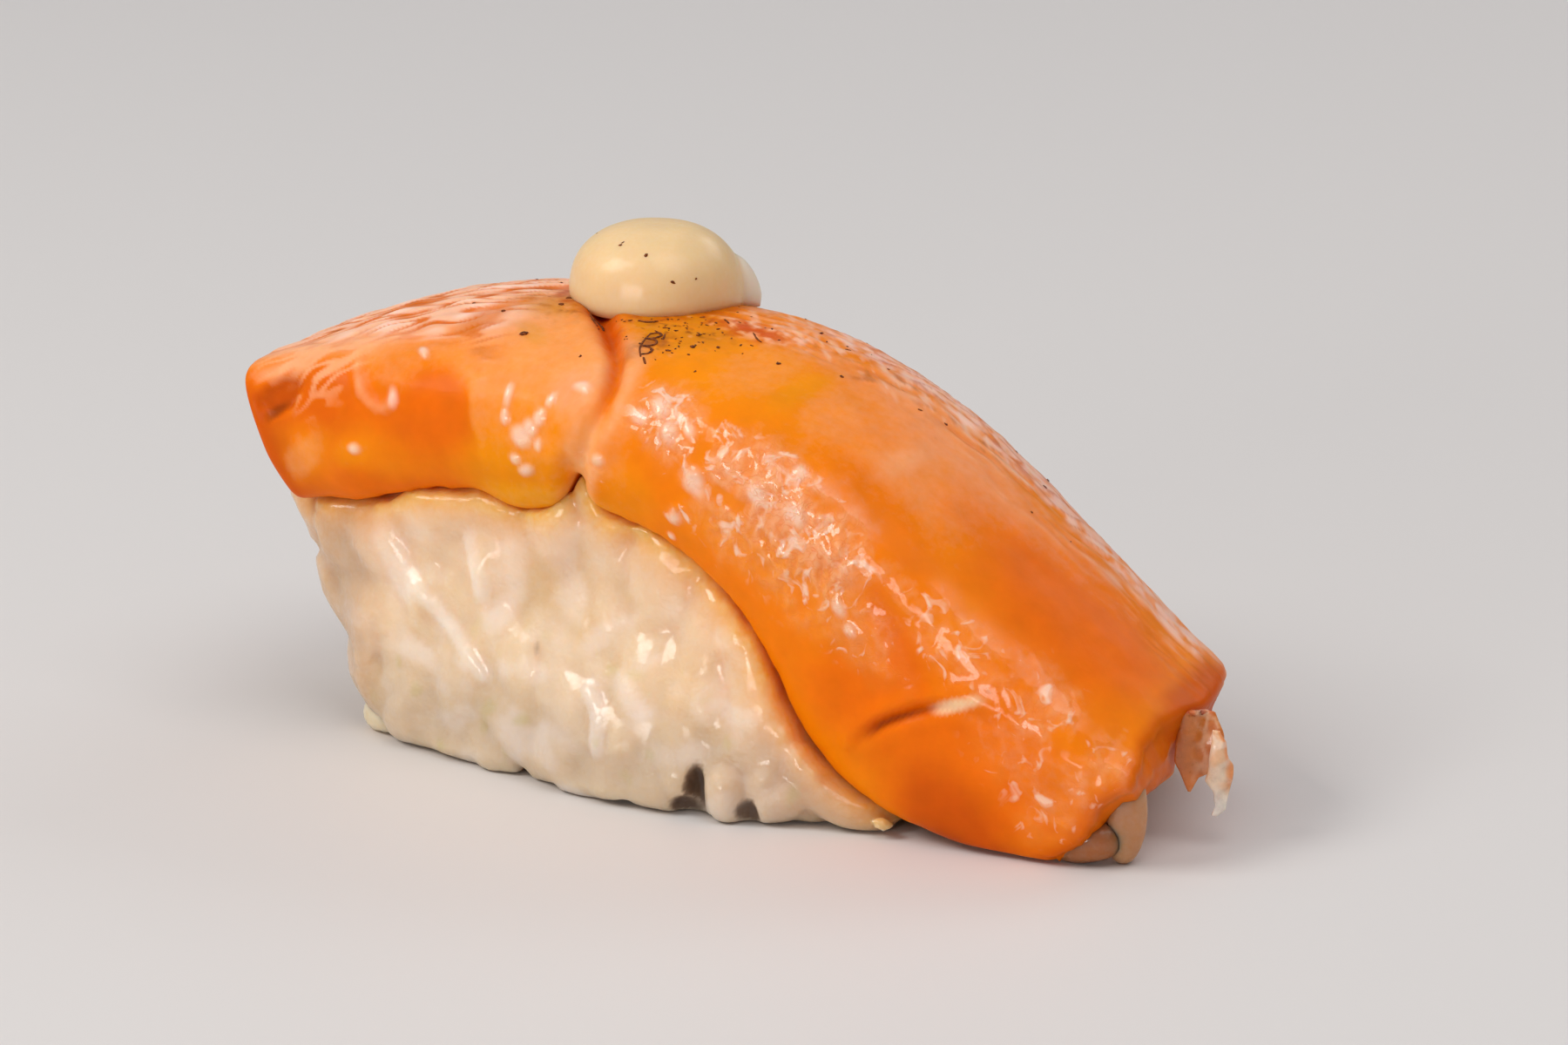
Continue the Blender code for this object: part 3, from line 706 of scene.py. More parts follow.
    # streaks over the film: thin orange lines, some scorched
    tl = k["top_left"]
    c = mix(c, srgb(254, 214, 196), 0.70 * tl * smooth(k["wl"], 0.0, 0.35))
    c = mix(c, srgb(226, 112, 36), 0.95 * tl * smooth(k["rl"], 0.50, 0.80) * smooth(n2, -0.5, 0.05))
    c = mix(c, srgb(160, 82, 30), 0.70 * tl * smooth(k["rl"], 0.72, 0.95) * smooth(n2, -0.05, 0.3))
    stain((216, 112, 30), 0.65, (16.6, 6.0), (1.0, 3.4), 12, 0.6, 0.5)
    strand = smooth(ridged(flat3(a * 0.5 + w * 0.9, (a * 0.9 - w * 0.5) * 0.3), 0.9, 57), 0.45, 0.8)
    stain((252, 182, 134), 0.75, (5.6, 10.8), (4.2, 3.2), 0, 0.6, 0.4, by=strand)
    stain((250, 170, 104), 0.50, (3.0, 17.6), (2.6, 1.0), -25, 0.6, 0.4)
    stain((214, 142, 34), 0.60, (20.4, 2.6), (1.8, 2.4), 30, 0.6, 0.5)
    stain((214, 150, 60), 0.40, (20.8, 7.6), (1.6, 0.7), 40, 0.6, 0.4)
    # right ridge: frosted streaks on orange and brown; the whitish pink along the rim behind the ridge is partly
    # painted sheen
    tr = k["top"] * smooth(a, 29, 33)
    edge = smooth(1.6 - w, 0.0, 4.0)
    c = mix(c, srgb(230, 122, 46), 0.55 * tr * smooth(-k["wr"], 0.05, 0.4) * (1 - smooth(a, 46, 56)))
    c = mix(c, srgb(250, 172, 128), 0.65 * tr * smooth(k["wr"], -0.15, 0.25) * (0.30 + 0.70 * edge))
    c = mix(c, srgb(255, 212, 190), 0.60 * tr * smooth(k["wr"], 0.12, 0.45) * (0.15 + 0.85 * edge))
    c = mix(c, srgb(252, 190, 160), 0.60 * k["top"] * smooth(-w, 1.5, 4.0) * smooth(n2, -0.4, 0.3))
    c = mix(c, srgb(150, 74, 34), 0.60 * tr * smooth(k["rr"], 0.72, 0.95) * smooth(n2, -0.1, 0.3)
            * (1 - smooth(a, 48, 58)))
    slant = fbm(flat3((a - w) * 0.9, (a + w) * 0.25), 1.0, 66)
    limit = np.interp(a, (30, 38, 46, 52, 70), (1.8, 3.2, 2.2, -0.4, -0.7))
    c = mix(c, srgb(252, 196, 164), 0.75 * tr * smooth(limit + 1.2 * slant - w, 0.0, 2.2)
            * smooth(slant + 0.3 * n3, -0.05, 0.35) * (1 - smooth(a, 50, 56)))
    c = mix(c, srgb(196, 110, 40), 0.60 * tr * smooth(limit + 1.0 - w, 0.0, 2.0)
            * smooth(-slant + 0.3 * n3, 0.22, 0.5) * (1 - smooth(a, 46, 52)))
    # partly painted sheen: whitish pink behind the ridge, where the backdrop reflects at a grazing angle
    frost_and_sheen = tr * smooth(-0.7 - w, 0.0, 1.6) * smooth(a, 33, 40) * (1 - smooth(a, 68.2, 69.4))
    c = mix(c, srgb(253, 206, 188), 0.80 * frost_and_sheen * smooth(n3 + 0.4 * n2, -0.35, 0.25))
    c = mix(c, srgb(206, 100, 50), 0.55 * frost_and_sheen * smooth(k["rr"], 0.70, 0.92) * (1 - smooth(a, 56, 64)))
    # seared patch with olive and brown flecks
    sear = blob(a, w, (28.8, 3.4), (4.2, 3.8), 20, 0.5, 0.4 * n2)
    sear = np.maximum(sear, 0.8 * blob(a, w, (20.2, 2.6), (3.6, 2.6), 20, 0.5, 0.4 * n2))
    c = mix(c, srgb(214, 132, 30), 0.80 * sear * smooth(n2, -0.6, 0.3))
    c = mix(c, srgb(176, 98, 22), 0.60 * sear * smooth(n3 + 0.3 * n2, 0.05, 0.35))
    c = mix(c, srgb(134, 64, 16), 0.70 * sear * smooth(fbm(face, 0.65, 64) + 0.3 * n2, 0.20, 0.42))
    c = mix(c, srgb(250, 176, 130), 0.50 * sear * smooth(fbm(face, 0.8, 65), 0.22, 0.42))
    stain((148, 74, 36), 0.75, (28.9, 6.6), (0.8, 2.0), 25, 0.6, 0.5, by=smooth(n3, -0.3, 0.2))
    # reddish scorched flesh and pale flakes right of the sauce
    stain((204, 78, 30), 0.85, (32.6, 1.4), (3.0, 1.5), 10, 0.6, 0.6, by=smooth(n3, -0.25, 0.2))
    stain((253, 200, 176), 0.80, (34.6, 0.6), (3.6, 1.7), 0, 0.6, 0.6, by=smooth(-n3, -0.05, 0.25))
    foot = np.hypot(pos[..., 0] - DOLLOP_X, pos[..., 1] - DOLLOP_Y)
    rim = bell(foot, DOLLOP_FOOT_R + 0.5, 0.7) * smooth(n3, -0.5, 0.3)
    c = mix(c, srgb(190, 78, 16), 0.70 * rim)
    # film is peach, paler where it puckers: partly the film's own colour and partly painted highlight
    c = mix(c, srgb(250, 158, 98), 0.92 * k["film"] * (1 - 0.6 * smooth(w, 15.0, 18.0)))
    c = mix(c, srgb(248, 150, 52), 0.7 * k["film"] * smooth(w, 15.0, 18.0))
    c = mix(c, srgb(252, 190, 150), 0.45 * k["film"] * smooth(k["net"], 0.45, 0.9)
            * (1 - 0.7 * smooth(w, 15.5, 18.5)))
    # painted highlight: the raised wet spots are painted near white as glints
    c = mix(c, srgb(255, 218, 196), 0.74 * k["drops"])
    # seam, crease and dent; the crease, the valley and the dent are painted darker as shade, and the lips of the
    # seam and the crease get painted highlights
    t = k["seam_t"]
    wide = np.exp(-(k["seam_d"] / 1.0) ** 2) * smooth(t, 0.0, 0.05)
    c = mix(c, srgb(186, 74, 20), 0.85 * wide * (1 - smooth(t, 0.14, 0.26)))
    c = mix(c, srgb(222, 92, 26), 0.70 * wide * smooth(t, 0.12, 0.22) * (1 - smooth(t, 0.36, 0.5)))
    c = mix(c, srgb(150, 58, 14), 0.75 * k["seam"] * (1 - smooth(t, 0.04, 0.18)))
    c = mix(c, srgb(206, 84, 30), 0.80 * k["seam"] * smooth(t, 0.03, 0.15) * (1 - smooth(t, 0.30, 0.5)))
    c = mix(c, srgb(228, 104, 6), 0.80 * k["seam"] * smooth(t, 0.35, 0.50) * (1 - smooth(t, 0.62, 0.75)))
    # painted highlight along the seam's raised lip
    lip = np.exp(-((k["seam_d"] - 1.1) / 0.5) ** 2) * smooth(t, 0.3, 0.5)
    c = mix(c, srgb(250, 178, 128), 0.55 * lip * smooth(n2, -0.5, 0.2))
    c = mix(c, srgb(252, 184, 126), 0.75 * np.exp(-(k["seam_d"] / 0.8) ** 2) * smooth(t, 0.68, 0.8))
    # painted shade in the crease, a painted highlight on its rolled lip, painted shade in the valley
    c = mix(c, srgb(168, 58, 2), 0.85 * k["crease"])
    c = mix(c, srgb(255, 214, 170), 0.95 * blob(a, w, (60.4, 16.2), (1.9, 0.38), -58, 0.5, 0.3 * n3))
    c = mix(c, srgb(234, 106, 2), 0.6 * k["valley"])
    # painted shade in the dent at the left corner and a dark line along its edge
    c = mix(c, srgb(196, 78, 10), 0.85 * k["tri"])
    c = mix(c, srgb(120, 52, 14), 0.6 * blob(a, w, (1.6, 14.4), (1.5, 0.35), -20, 0.5, 0.3 * n3))
    stain((250, 176, 130), 0.6, (3.4, 11.3), (2.4, 0.5), -12, 0.6, 0.3)
    # far side: clear flesh with clouded patches
    back = smooth(-w, 8, 11)
    c = mix(c, srgb(238, 114, 6), 0.8 * back * smooth(n1, -0.3, 0.5))
    c = mix(c, srgb(248, 152, 80), 0.6 * back * smooth(-n1 + 0.4 * n2, 0.15, 0.6))
    # the cut edges at both ends, painted a darker orange as shade
    stain((208, 90, 0), 0.95, (70.1, 1.8), (1.5, 4.4), 0, 0.5, 0.3)
    stain((212, 90, 0), 0.90, (0.3, 16.5), (1.0, 5.0), 0, 0.5, 0.3)
    rim = smooth(a, 69.6, 70.6) * smooth(w, -9, -3)
    c = mix(c, srgb(208, 84, 2), 0.6 * rim)
    return c


def build_salmon(mat):
    ends = np.array([0.0, 0.06, 0.16, 0.32, 0.55])
    a = np.concatenate([ends, np.linspace(0.78, SLAB_LENGTH - 0.78, 292),
                        SLAB_LENGTH - ends[::-1]])
    shares = ring_shares()
    sec = slab_sections(a, shares)
    tan = np.roll(sec, -1, -2) - np.roll(sec, 1, -2)
    nor2 = np.stack([tan[..., 1], -tan[..., 0]], -1)
    nor2 /= np.linalg.norm(nor2, axis=-1, keepdims=True)
    mid = sec.mean(1, keepdims=True)
    if ((sec - mid) * nor2).sum() < 0:
        nor2 = -nor2
    edge = np.minimum(a, SLAB_LENGTH - a)
    inset = 0.55 * (1 - np.sqrt(1 - np.clip(1 - edge / 0.55, 0, 1) ** 2))
    sec = sec - nor2 * inset[:, None, None]
    idx = np.arange(len(shares))
    down = np.where(idx < OUTER, smooth(np.where(idx < BACK_N, (BACK_N - idx) / BACK_N,
                                                 (idx - BACK_N) / FRONT_N), 0.80, 1.0), 0.0)
    into = np.minimum(idx - OUTER + 1, len(shares) - idx) / UNDER_N
    down = np.where(idx >= OUTER, 1 - smooth(into, 0.0, 0.12), down)
    sec[..., 0] -= (np.sign(sec[..., 0]) * 0.6 * down[None]
                    * (1 - smooth(a, 56, 62))[:, None])
    # torn, uneven right end and lower edges
    rag = fbm(flat3(shares * 80, 0 * shares), 3.2, 71, 3)
    sh = np.where(shares > 0.5, shares - 1, shares)
    rag = (1.0 * rag * smooth(np.abs(sh), 0.02, 0.10) - 1.7 * bell(sh, 0.06, 0.045)
           + 0.3 * smooth(sh, 0.09, 0.12) * (1 - smooth(sh, 0.20, 0.26)))
    aa = a[:, None] + rag[None] * smooth(a, SLAB_LENGTH - 6, SLAB_LENGTH)[:, None]
    low = bell(np.where(shares > 0.5, 1 - shares, shares), 0.30, 0.05)
    hem = 0.35 * fbm(flat3(a, 0 * a), 3.5, 72, 3)
    n = sec[..., 1] + hem[:, None] * low[None]
    pos = place(aa, sec[..., 0], n)
    # distances round the face
    out = pos[:, :OUTER]
    seg = np.linalg.norm(np.diff(out, axis=1), axis=2)
    w = np.concatenate([np.zeros((len(a), 1)), np.cumsum(seg, 1)], 1)
    w = w - w[:, BACK_N:BACK_N + 1]
    agrid = np.broadcast_to(a[:, None], w.shape)
    da = np.gradient(pos, axis=0)
    dr = np.roll(pos, -1, 1) - np.roll(pos, 1, 1)
    nor = np.cross(dr, da)
    nor /= np.maximum(np.linalg.norm(nor, axis=2, keepdims=True), 1e-9)
    if ((pos - pos.reshape(-1, 3).mean(0)) * nor).sum() < 0:
        nor = -nor
    h, k = face_relief(agrid, w, out)
    calm = smooth(edge, 0.0, 0.8)[:, None]
    hem_calm = 1 - 0.6 * bell(np.linspace(-1, 1, OUTER)[None] ** 2, 1.0, 0.08)
    pos[:, :OUTER] += nor[:, :OUTER] * (h * calm * hem_calm)[..., None]
    z = pos[..., 2]
    pos[..., 2] = np.where(z < SLAB_FLOOR + 1.0, SLAB_FLOOR + np.log1p(
        np.exp(np.minimum((z - SLAB_FLOOR) * 3.0, 30))) / 3.0, z)

    col = np.zeros(pos.shape) + srgb(238, 130, 40)
    col[:, :OUTER] = flesh_colour(agrid, w, out, k)
    crk = np.zeros(pos.shape[:2])
    crk[:, :OUTER] = k["film"]
    gli = np.zeros(pos.shape[:2])
    gli[:, :OUTER] = k["glint"]
    wet = np.zeros(pos.shape[:2]) + 0.1
    wet[:, :OUTER] = k["wet"]
    rows, cols = pos.shape[:2]
    verts = [pos.reshape(-1, 3)]
    cols_ = [col.reshape(-1, 3)]
    crks = [crk.ravel()]
    wets = [wet.ravel()]
    glis = [gli.ravel()]
    faces = [f.tolist() for f in grid_faces(rows, cols, closed=True)]
    count = rows * cols
    # end faces: rows across the thickness from the outer line to the underside
    K = 10
    for row, sign in ((0, -1.0), (rows - 1, 1.0)):
        ring = pos[row]
        outer = ring[:OUTER]
        inner = np.vstack([ring[OUTER - 1:OUTER], ring[OUTER:], ring[:1]])[::-1]
        fine = np.linspace(0, UNDER_N, OUTER)
        inner_f = np.stack([np.interp(fine, np.arange(UNDER_N + 1), inner[:, c])
                            for c in range(3)], -1)
        x, zz, t = slab_middle(np.array([a[row]]))
        axis = np.array([np.cos(t[0]), 0.0, np.sin(t[0])]) * sign
        ids = [row * cols + np.arange(OUTER)]
        inner_ids = np.concatenate([[OUTER - 1], np.arange(OUTER, cols), [0]])[::-1] + row * cols
        for r in range(1, K):
            v = r / K
            p = outer * (1 - v) + inner_f * v
            flake = fbm(p * (1, 1, 1.6), 2.6, 81, 3) + 0.5 * ridged(p, 1.8, 82)
            lift = 0.35 * flake * np.sin(np.pi * v) * np.sin(np.linspace(0, np.pi, OUTER)) ** 0.4
            p = p + axis * (lift + 0.25 * np.sin(np.pi * v))[:, None]
            verts.append(p[1:-1])
            streak = smooth(ridged(p * (1, 1, 2.2), 2.4, 83), 0.55, 0.95)
            # painted shade: the end faces are a darker orange, darker still where the flakes sink
            cc = mix(np.zeros((OUTER, 3)) + srgb(206, 82, 0), srgb(236, 136, 60), 0.25 * streak)
            cc = mix(cc, srgb(180, 66, 0), smooth(flake, 0.0, -0.5) * 0.6)
            if sign > 0:
                cc = mix(cc, srgb(238, 112, 2), 0.92 * smooth(sh[:OUTER], 0.05, 0.09)
                         * (1 - smooth(v + 0 * sh[:OUTER], 0.70, 1.0)))
            cols_.append(cc[1:-1])
            crks.append(np.zeros(OUTER - 2) + 0.08)
            wets.append(np.zeros(OUTER - 2) + 0.08)
            glis.append(np.zeros(OUTER - 2))
            ids.append(np.concatenate([[ids[0][0]], count + np.arange(OUTER - 2), [ids[0][-1]]]))
            count += OUTER - 2
        for r in range(K - 1):
            for c in range(OUTER - 1):
                quad = [ids[r][c], ids[r][c + 1], ids[r + 1][c + 1], ids[r + 1][c]]
                faces.append(list(dict.fromkeys(int(q) for q in quad)))
        per = (OUTER - 1) // UNDER_N
        for i in range(UNDER_N):
            poly = [inner_ids[i]] + [ids[K - 1][c] for c in range(i * per, (i + 1) * per + 1)]
            poly.append(inner_ids[i + 1])
            faces.append(list(dict.fromkeys(int(q) for q in poly)))
    verts, cols_ = np.vstack(verts), np.vstack(cols_)
    ob = make("salmon_slab", verts, faces, mat,
              attrs={"film": np.concatenate(crks), "glint": np.concatenate(glis),
                     "wet": np.concatenate(wets)},
              colours={"flesh": cols_})
    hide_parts("salmon")
    return ob, (a, w, pos[:, :OUTER], nor[:, :OUTER])


def on_face(grid, at_a, at_w):
    """Point and normal of the finished face at (along, round)."""
    a, w, pos, nor = grid
    i = int(np.clip(np.searchsorted(a, at_a) - 1, 0, len(a) - 2))
    f = (at_a - a[i]) / (a[i + 1] - a[i])
    both = []
    for src in (pos, nor):
        two = [np.array([np.interp(at_w, w[r], src[r][:, c]) for c in range(3)]) for r in (i, i + 1)]
        both.append(two[0] * (1 - f) + two[1] * f)
    return both[0], both[1] / np.linalg.norm(both[1])


# ===================================================================== rice
# Grains and gaps in known places: (place, facing, angle, half sizes, tone)
SPECIAL_GRAINS = (
    ((-24.6, -11.0, 11.6), (-0.03, -1, 0.1), 128, (4.2, 0.95, 1.5), 0.9),
    ((-20.0, -11.6, 7.9), (-0.03, -1, 0.1), 124, (3.6, 0.85, 1.5), 0.8),
    ((-18.4, -11.5, 12.6), (0, -1, 0.1), 100, (3.2, 1.5, 1.4), 0.2),
    ((-11.6, -12.2, 5.2), (0, -1, 0.1), 118, (3.4, 1.6, 1.5), 0.5),
    ((-7.2, -12.4, 4.2), (0, -1, 0.1), 112, (3.2, 1.6, 1.5), 0.6),
)
PROUD_GRAINS = (
    ((0.9, -14.1, 1.7), (0.2, -1, 0), 98, (1.9, 1.35, 1.2), 0.3),
    ((3.6, -13.0, 1.5), (0.2, -1, 0), 20, (2.4, 1.35, 1.3), 0.5),
)
RICE_GAPS = (
    (np.array([-1.0, -15.2, 1.5]), np.array([0.60, 1.6, 2.1])),
    (np.array([-1.6, -15.2, 0.1]), np.array([1.15, 1.7, 1.3])),
    (np.array([2.6, -15.0, 0.4]), np.array([0.7, 1.5, 1.4])),
    (np.array([-13.8, -13.6, 8.7]), np.array([0.30, 0.9, 0.9])),
    (np.array([-16.8, -13.9, 5.4]), np.array([0.9, 0.8, 0.24])),
)
# Raised edges on the front: path of (x, z), height, half width
RIDGES = (
    (((-26.6, 13.4), (-24.6, 11.9), (-22.3, 10.1), (-20.2, 8.4), (-17.9, 6.0)), 0.13, 0.40),
    (((-19.6, 14.6), (-18.6, 12.6), (-18.4, 10.9)), 0.03, 0.40),
    (((-9.4, 6.6), (-8.2, 5.2), (-7.8, 3.4)), 0.04, 0.40),
)


class Field:
    """Distance-like field on a grid, joined from grains with soft seams."""

    def __init__(self, lo, hi, step):
        self.lo, self.step = np.array(lo, float), step
        self.n = np.ceil((np.array(hi) - lo) / step).astype(int) + 1
        self.val = np.full(self.n, 3.0, np.float32)
        self.tone = np.zeros(self.n, np.float32)

    def axes(self, s):
        return [self.lo[k] + self.step * np.arange(s[k].start, s[k].stop) for k in range(3)]

    def add_grain(self, at, turn, size, bend, tone, soft):
        reach = max(size) + 1.2
        a = np.clip(np.floor((at - reach - self.lo) / self.step).astype(int), 0, self.n)
        b = np.clip(np.ceil((at + reach - self.lo) / self.step).astype(int) + 1, 0, self.n)
        if (b <= a).any():
            return
        s = tuple(slice(a[k], b[k]) for k in range(3))
        x, y, z = self.axes(s)
        rel = np.stack(np.meshgrid(x - at[0], y - at[1], z - at[2], indexing="ij"), -1)
        q = rel @ turn.T
        q[..., 2] += bend * (q[..., 0] / size[0]) ** 2
        r = q / size
        k0 = np.sqrt((np.abs(r[..., 0]) ** 2.5 + r[..., 1] ** 2 + r[..., 2] ** 2))
        k1 = np.linalg.norm(q / np.square(size), axis=-1)
        d = k0 * (k0 - 1) / np.maximum(k1, 1e-6)
        old = self.val[s]
        t = np.clip(0.5 + 0.5 * (old - d) / soft, 0, 1)
        self.tone[s] = self.tone[s] * (1 - t) + tone * t
        self.val[s] = old * (1 - t) + d * t - soft * t * (1 - t)


def surface_net(val, lo, step):
    """Quad mesh of the zero level of a grid of values (inside is negative)."""
    inside = val < 0
    n = np.array(val.shape) - 1
    total = np.zeros(n, np.int8)
    for dx in (0, 1):
        for dy in (0, 1):
            for dz in (0, 1):
                total += inside[dx:dx + n[0], dy:dy + n[1], dz:dz + n[2]]
    active = (total > 0) & (total < 8)
    cell = np.argwhere(active)
    number = np.full(n, -1, np.int64)
    number[active] = np.arange(len(cell))
    acc = np.zeros((len(cell), 3))
    cnt = np.zeros(len(cell))
    corners = [(i, j, k) for i in (0, 1) for j in (0, 1) for k in (0, 1)]
    for c0 in corners:
        for ax in range(3):
            if c0[ax]:
                continue
            c1 = list(c0)
            c1[ax] = 1
            i0, i1 = cell + c0, cell + c1
            v0 = val[i0[:, 0], i0[:, 1], i0[:, 2]]
            v1 = val[i1[:, 0], i1[:, 1], i1[:, 2]]
            m = (v0 < 0) != (v1 < 0)
            t = np.where(m, v0 / np.where(m, v0 - v1, 1), 0)
            p = np.array(c0, float)[None] + np.eye(3)[ax][None] * t[:, None]
            acc += p * m[:, None]
            cnt += m
    verts = lo + (cell + acc / cnt[:, None]) * step
    quads = []
    for ax in range(3):
        u, v = [k for k in range(3) if k != ax]
        s0 = [slice(1, -1)] * 3
        s1 = [slice(1, -1)] * 3
        s0[ax], s1[ax] = slice(0, -1), slice(1, None)
        m = inside[tuple(s0)] != inside[tuple(s1)]
        at = np.argwhere(m)
        off = np.ones(3, int)
        off[ax] = 0
        at = at + off
        flip = inside[at[:, 0], at[:, 1], at[:, 2]]
        ids = []
        for du, dv in ((-1, -1), (0, -1), (0, 0), (-1, 0)):
            q = at.copy()
            q[:, u] += du
            q[:, v] += dv
            ids.append(number[q[:, 0], q[:, 1], q[:, 2]])
        quad = np.stack(ids, -1)
        if ax == 1:
            flip = ~flip
        quad[~flip] = quad[~flip][:, ::-1]
        quads.append(quad[(quad >= 0).all(1)])
    return verts, np.vstack(quads), cell


def world_bvh(node):
    ob = bpy.data.objects[node]
    me = ob.data
    v = np.array([ob.matrix_world @ p.co for p in me.vertices]) / MM + SHIFT
    me.calc_loop_triangles()
    f = np.array([t.vertices[:] for t in me.loop_triangles])
    return BVHTree.FromPolygons(v.tolist(), f.tolist()), v, f


def within(tree, p):
    """Whether p is inside a closed mesh: most of three rays cross it oddly."""
    odd = 0
    for ray in (Vector((0.031, 0.017, 1)), Vector((0.9, 0.37, 0.21)), Vector((-0.2, -0.85, 0.33))):
        ray.normalize()
        q, count = p.copy(), 0
        while count < 12:
            hit = tree.ray_cast(q, ray)[0]
            if hit is None:
                break
            count += 1
            q = hit + ray * 0.004
        odd += count % 2
    return odd >= 2


def grain_turn(normal, angle, tilt):
    """Axes of a grain that lies in a surface: length, width, thickness."""
    n = normal / np.linalg.norm(normal)
    up = np.array([0, 0, 1.0]) if abs(n[2]) < 0.9 else np.array([1.0, 0, 0])
    t1 = np.cross(up, n)
    t1 /= np.linalg.norm(t1)
    t2 = np.cross(n, t1)
    length = np.cos(angle) * t1 + np.sin(angle) * t2
    length = length * np.cos(tilt) + n * np.sin(tilt)
    width = np.cross(n, length)
    width /= np.linalg.norm(width)
    return np.stack([length, width, np.cross(length, width)])


def grain_size():
    return np.array([rng.uniform(2.9, 3.6), rng.uniform(1.45, 1.75), rng.uniform(1.25, 1.5)])


def grain_colour(tone, deep):
    """Milky to clear grains. Deeper places, the gaps between grains, are painted darker and warmer as shade, and
    the lowest tones are brown, painted shade for grains in the slab's shadow.
    """
    c = np.zeros(tone.shape + (3,)) + srgb(236, 208, 174)
    c = mix(c, srgb(244, 224, 206), smooth(tone, 0.1, 1.0) * 0.8)
    c = mix(c, srgb(230, 198, 154), smooth(-tone, 0.1, 1.0) * 0.7)
    c = mix(c, srgb(208, 158, 116), smooth(-tone, 1.1, 1.7))
    c = mix(c, srgb(166, 104, 62), smooth(-tone, 1.8, 2.6))
    return mix(c, srgb(214, 178, 122), 0.45 * deep)


def rice_spots():
    """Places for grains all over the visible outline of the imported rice."""
    rice, v, f = world_bvh("rice")
    slab, _, _ = world_bvh("salmon")
    tri = v[f]
    nrm = np.cross(tri[:, 1] - tri[:, 0], tri[:, 2] - tri[:, 0])
    area = np.linalg.norm(nrm, axis=1) / 2
    pick = rng.choice(len(f), 9000, p=area / area.sum())
    r = np.sqrt(rng.random(9000))[:, None]
    s = rng.random(9000)[:, None]
    pts = tri[pick, 0] * (1 - r) + tri[pick, 1] * r * (1 - s) + tri[pick, 2] * r * s
    nor = nrm[pick] / (2 * area[pick][:, None])
    out = []
    kept = np.zeros((0, 3))
    for p, n in zip(pts, nor):
        if n[2] < -0.6 and p[2] < 0.5:
            continue
        if slab.find_nearest(Vector(p))[3] < 0.8 and n[2] > -0.2 and abs(n[1]) < 0.92:
            continue
        if len(kept) and np.linalg.norm(kept - p, axis=1).min() < 2.75:
            continue
        kept = np.vstack([kept, p])
        out.append((p, n))
    return rice, out


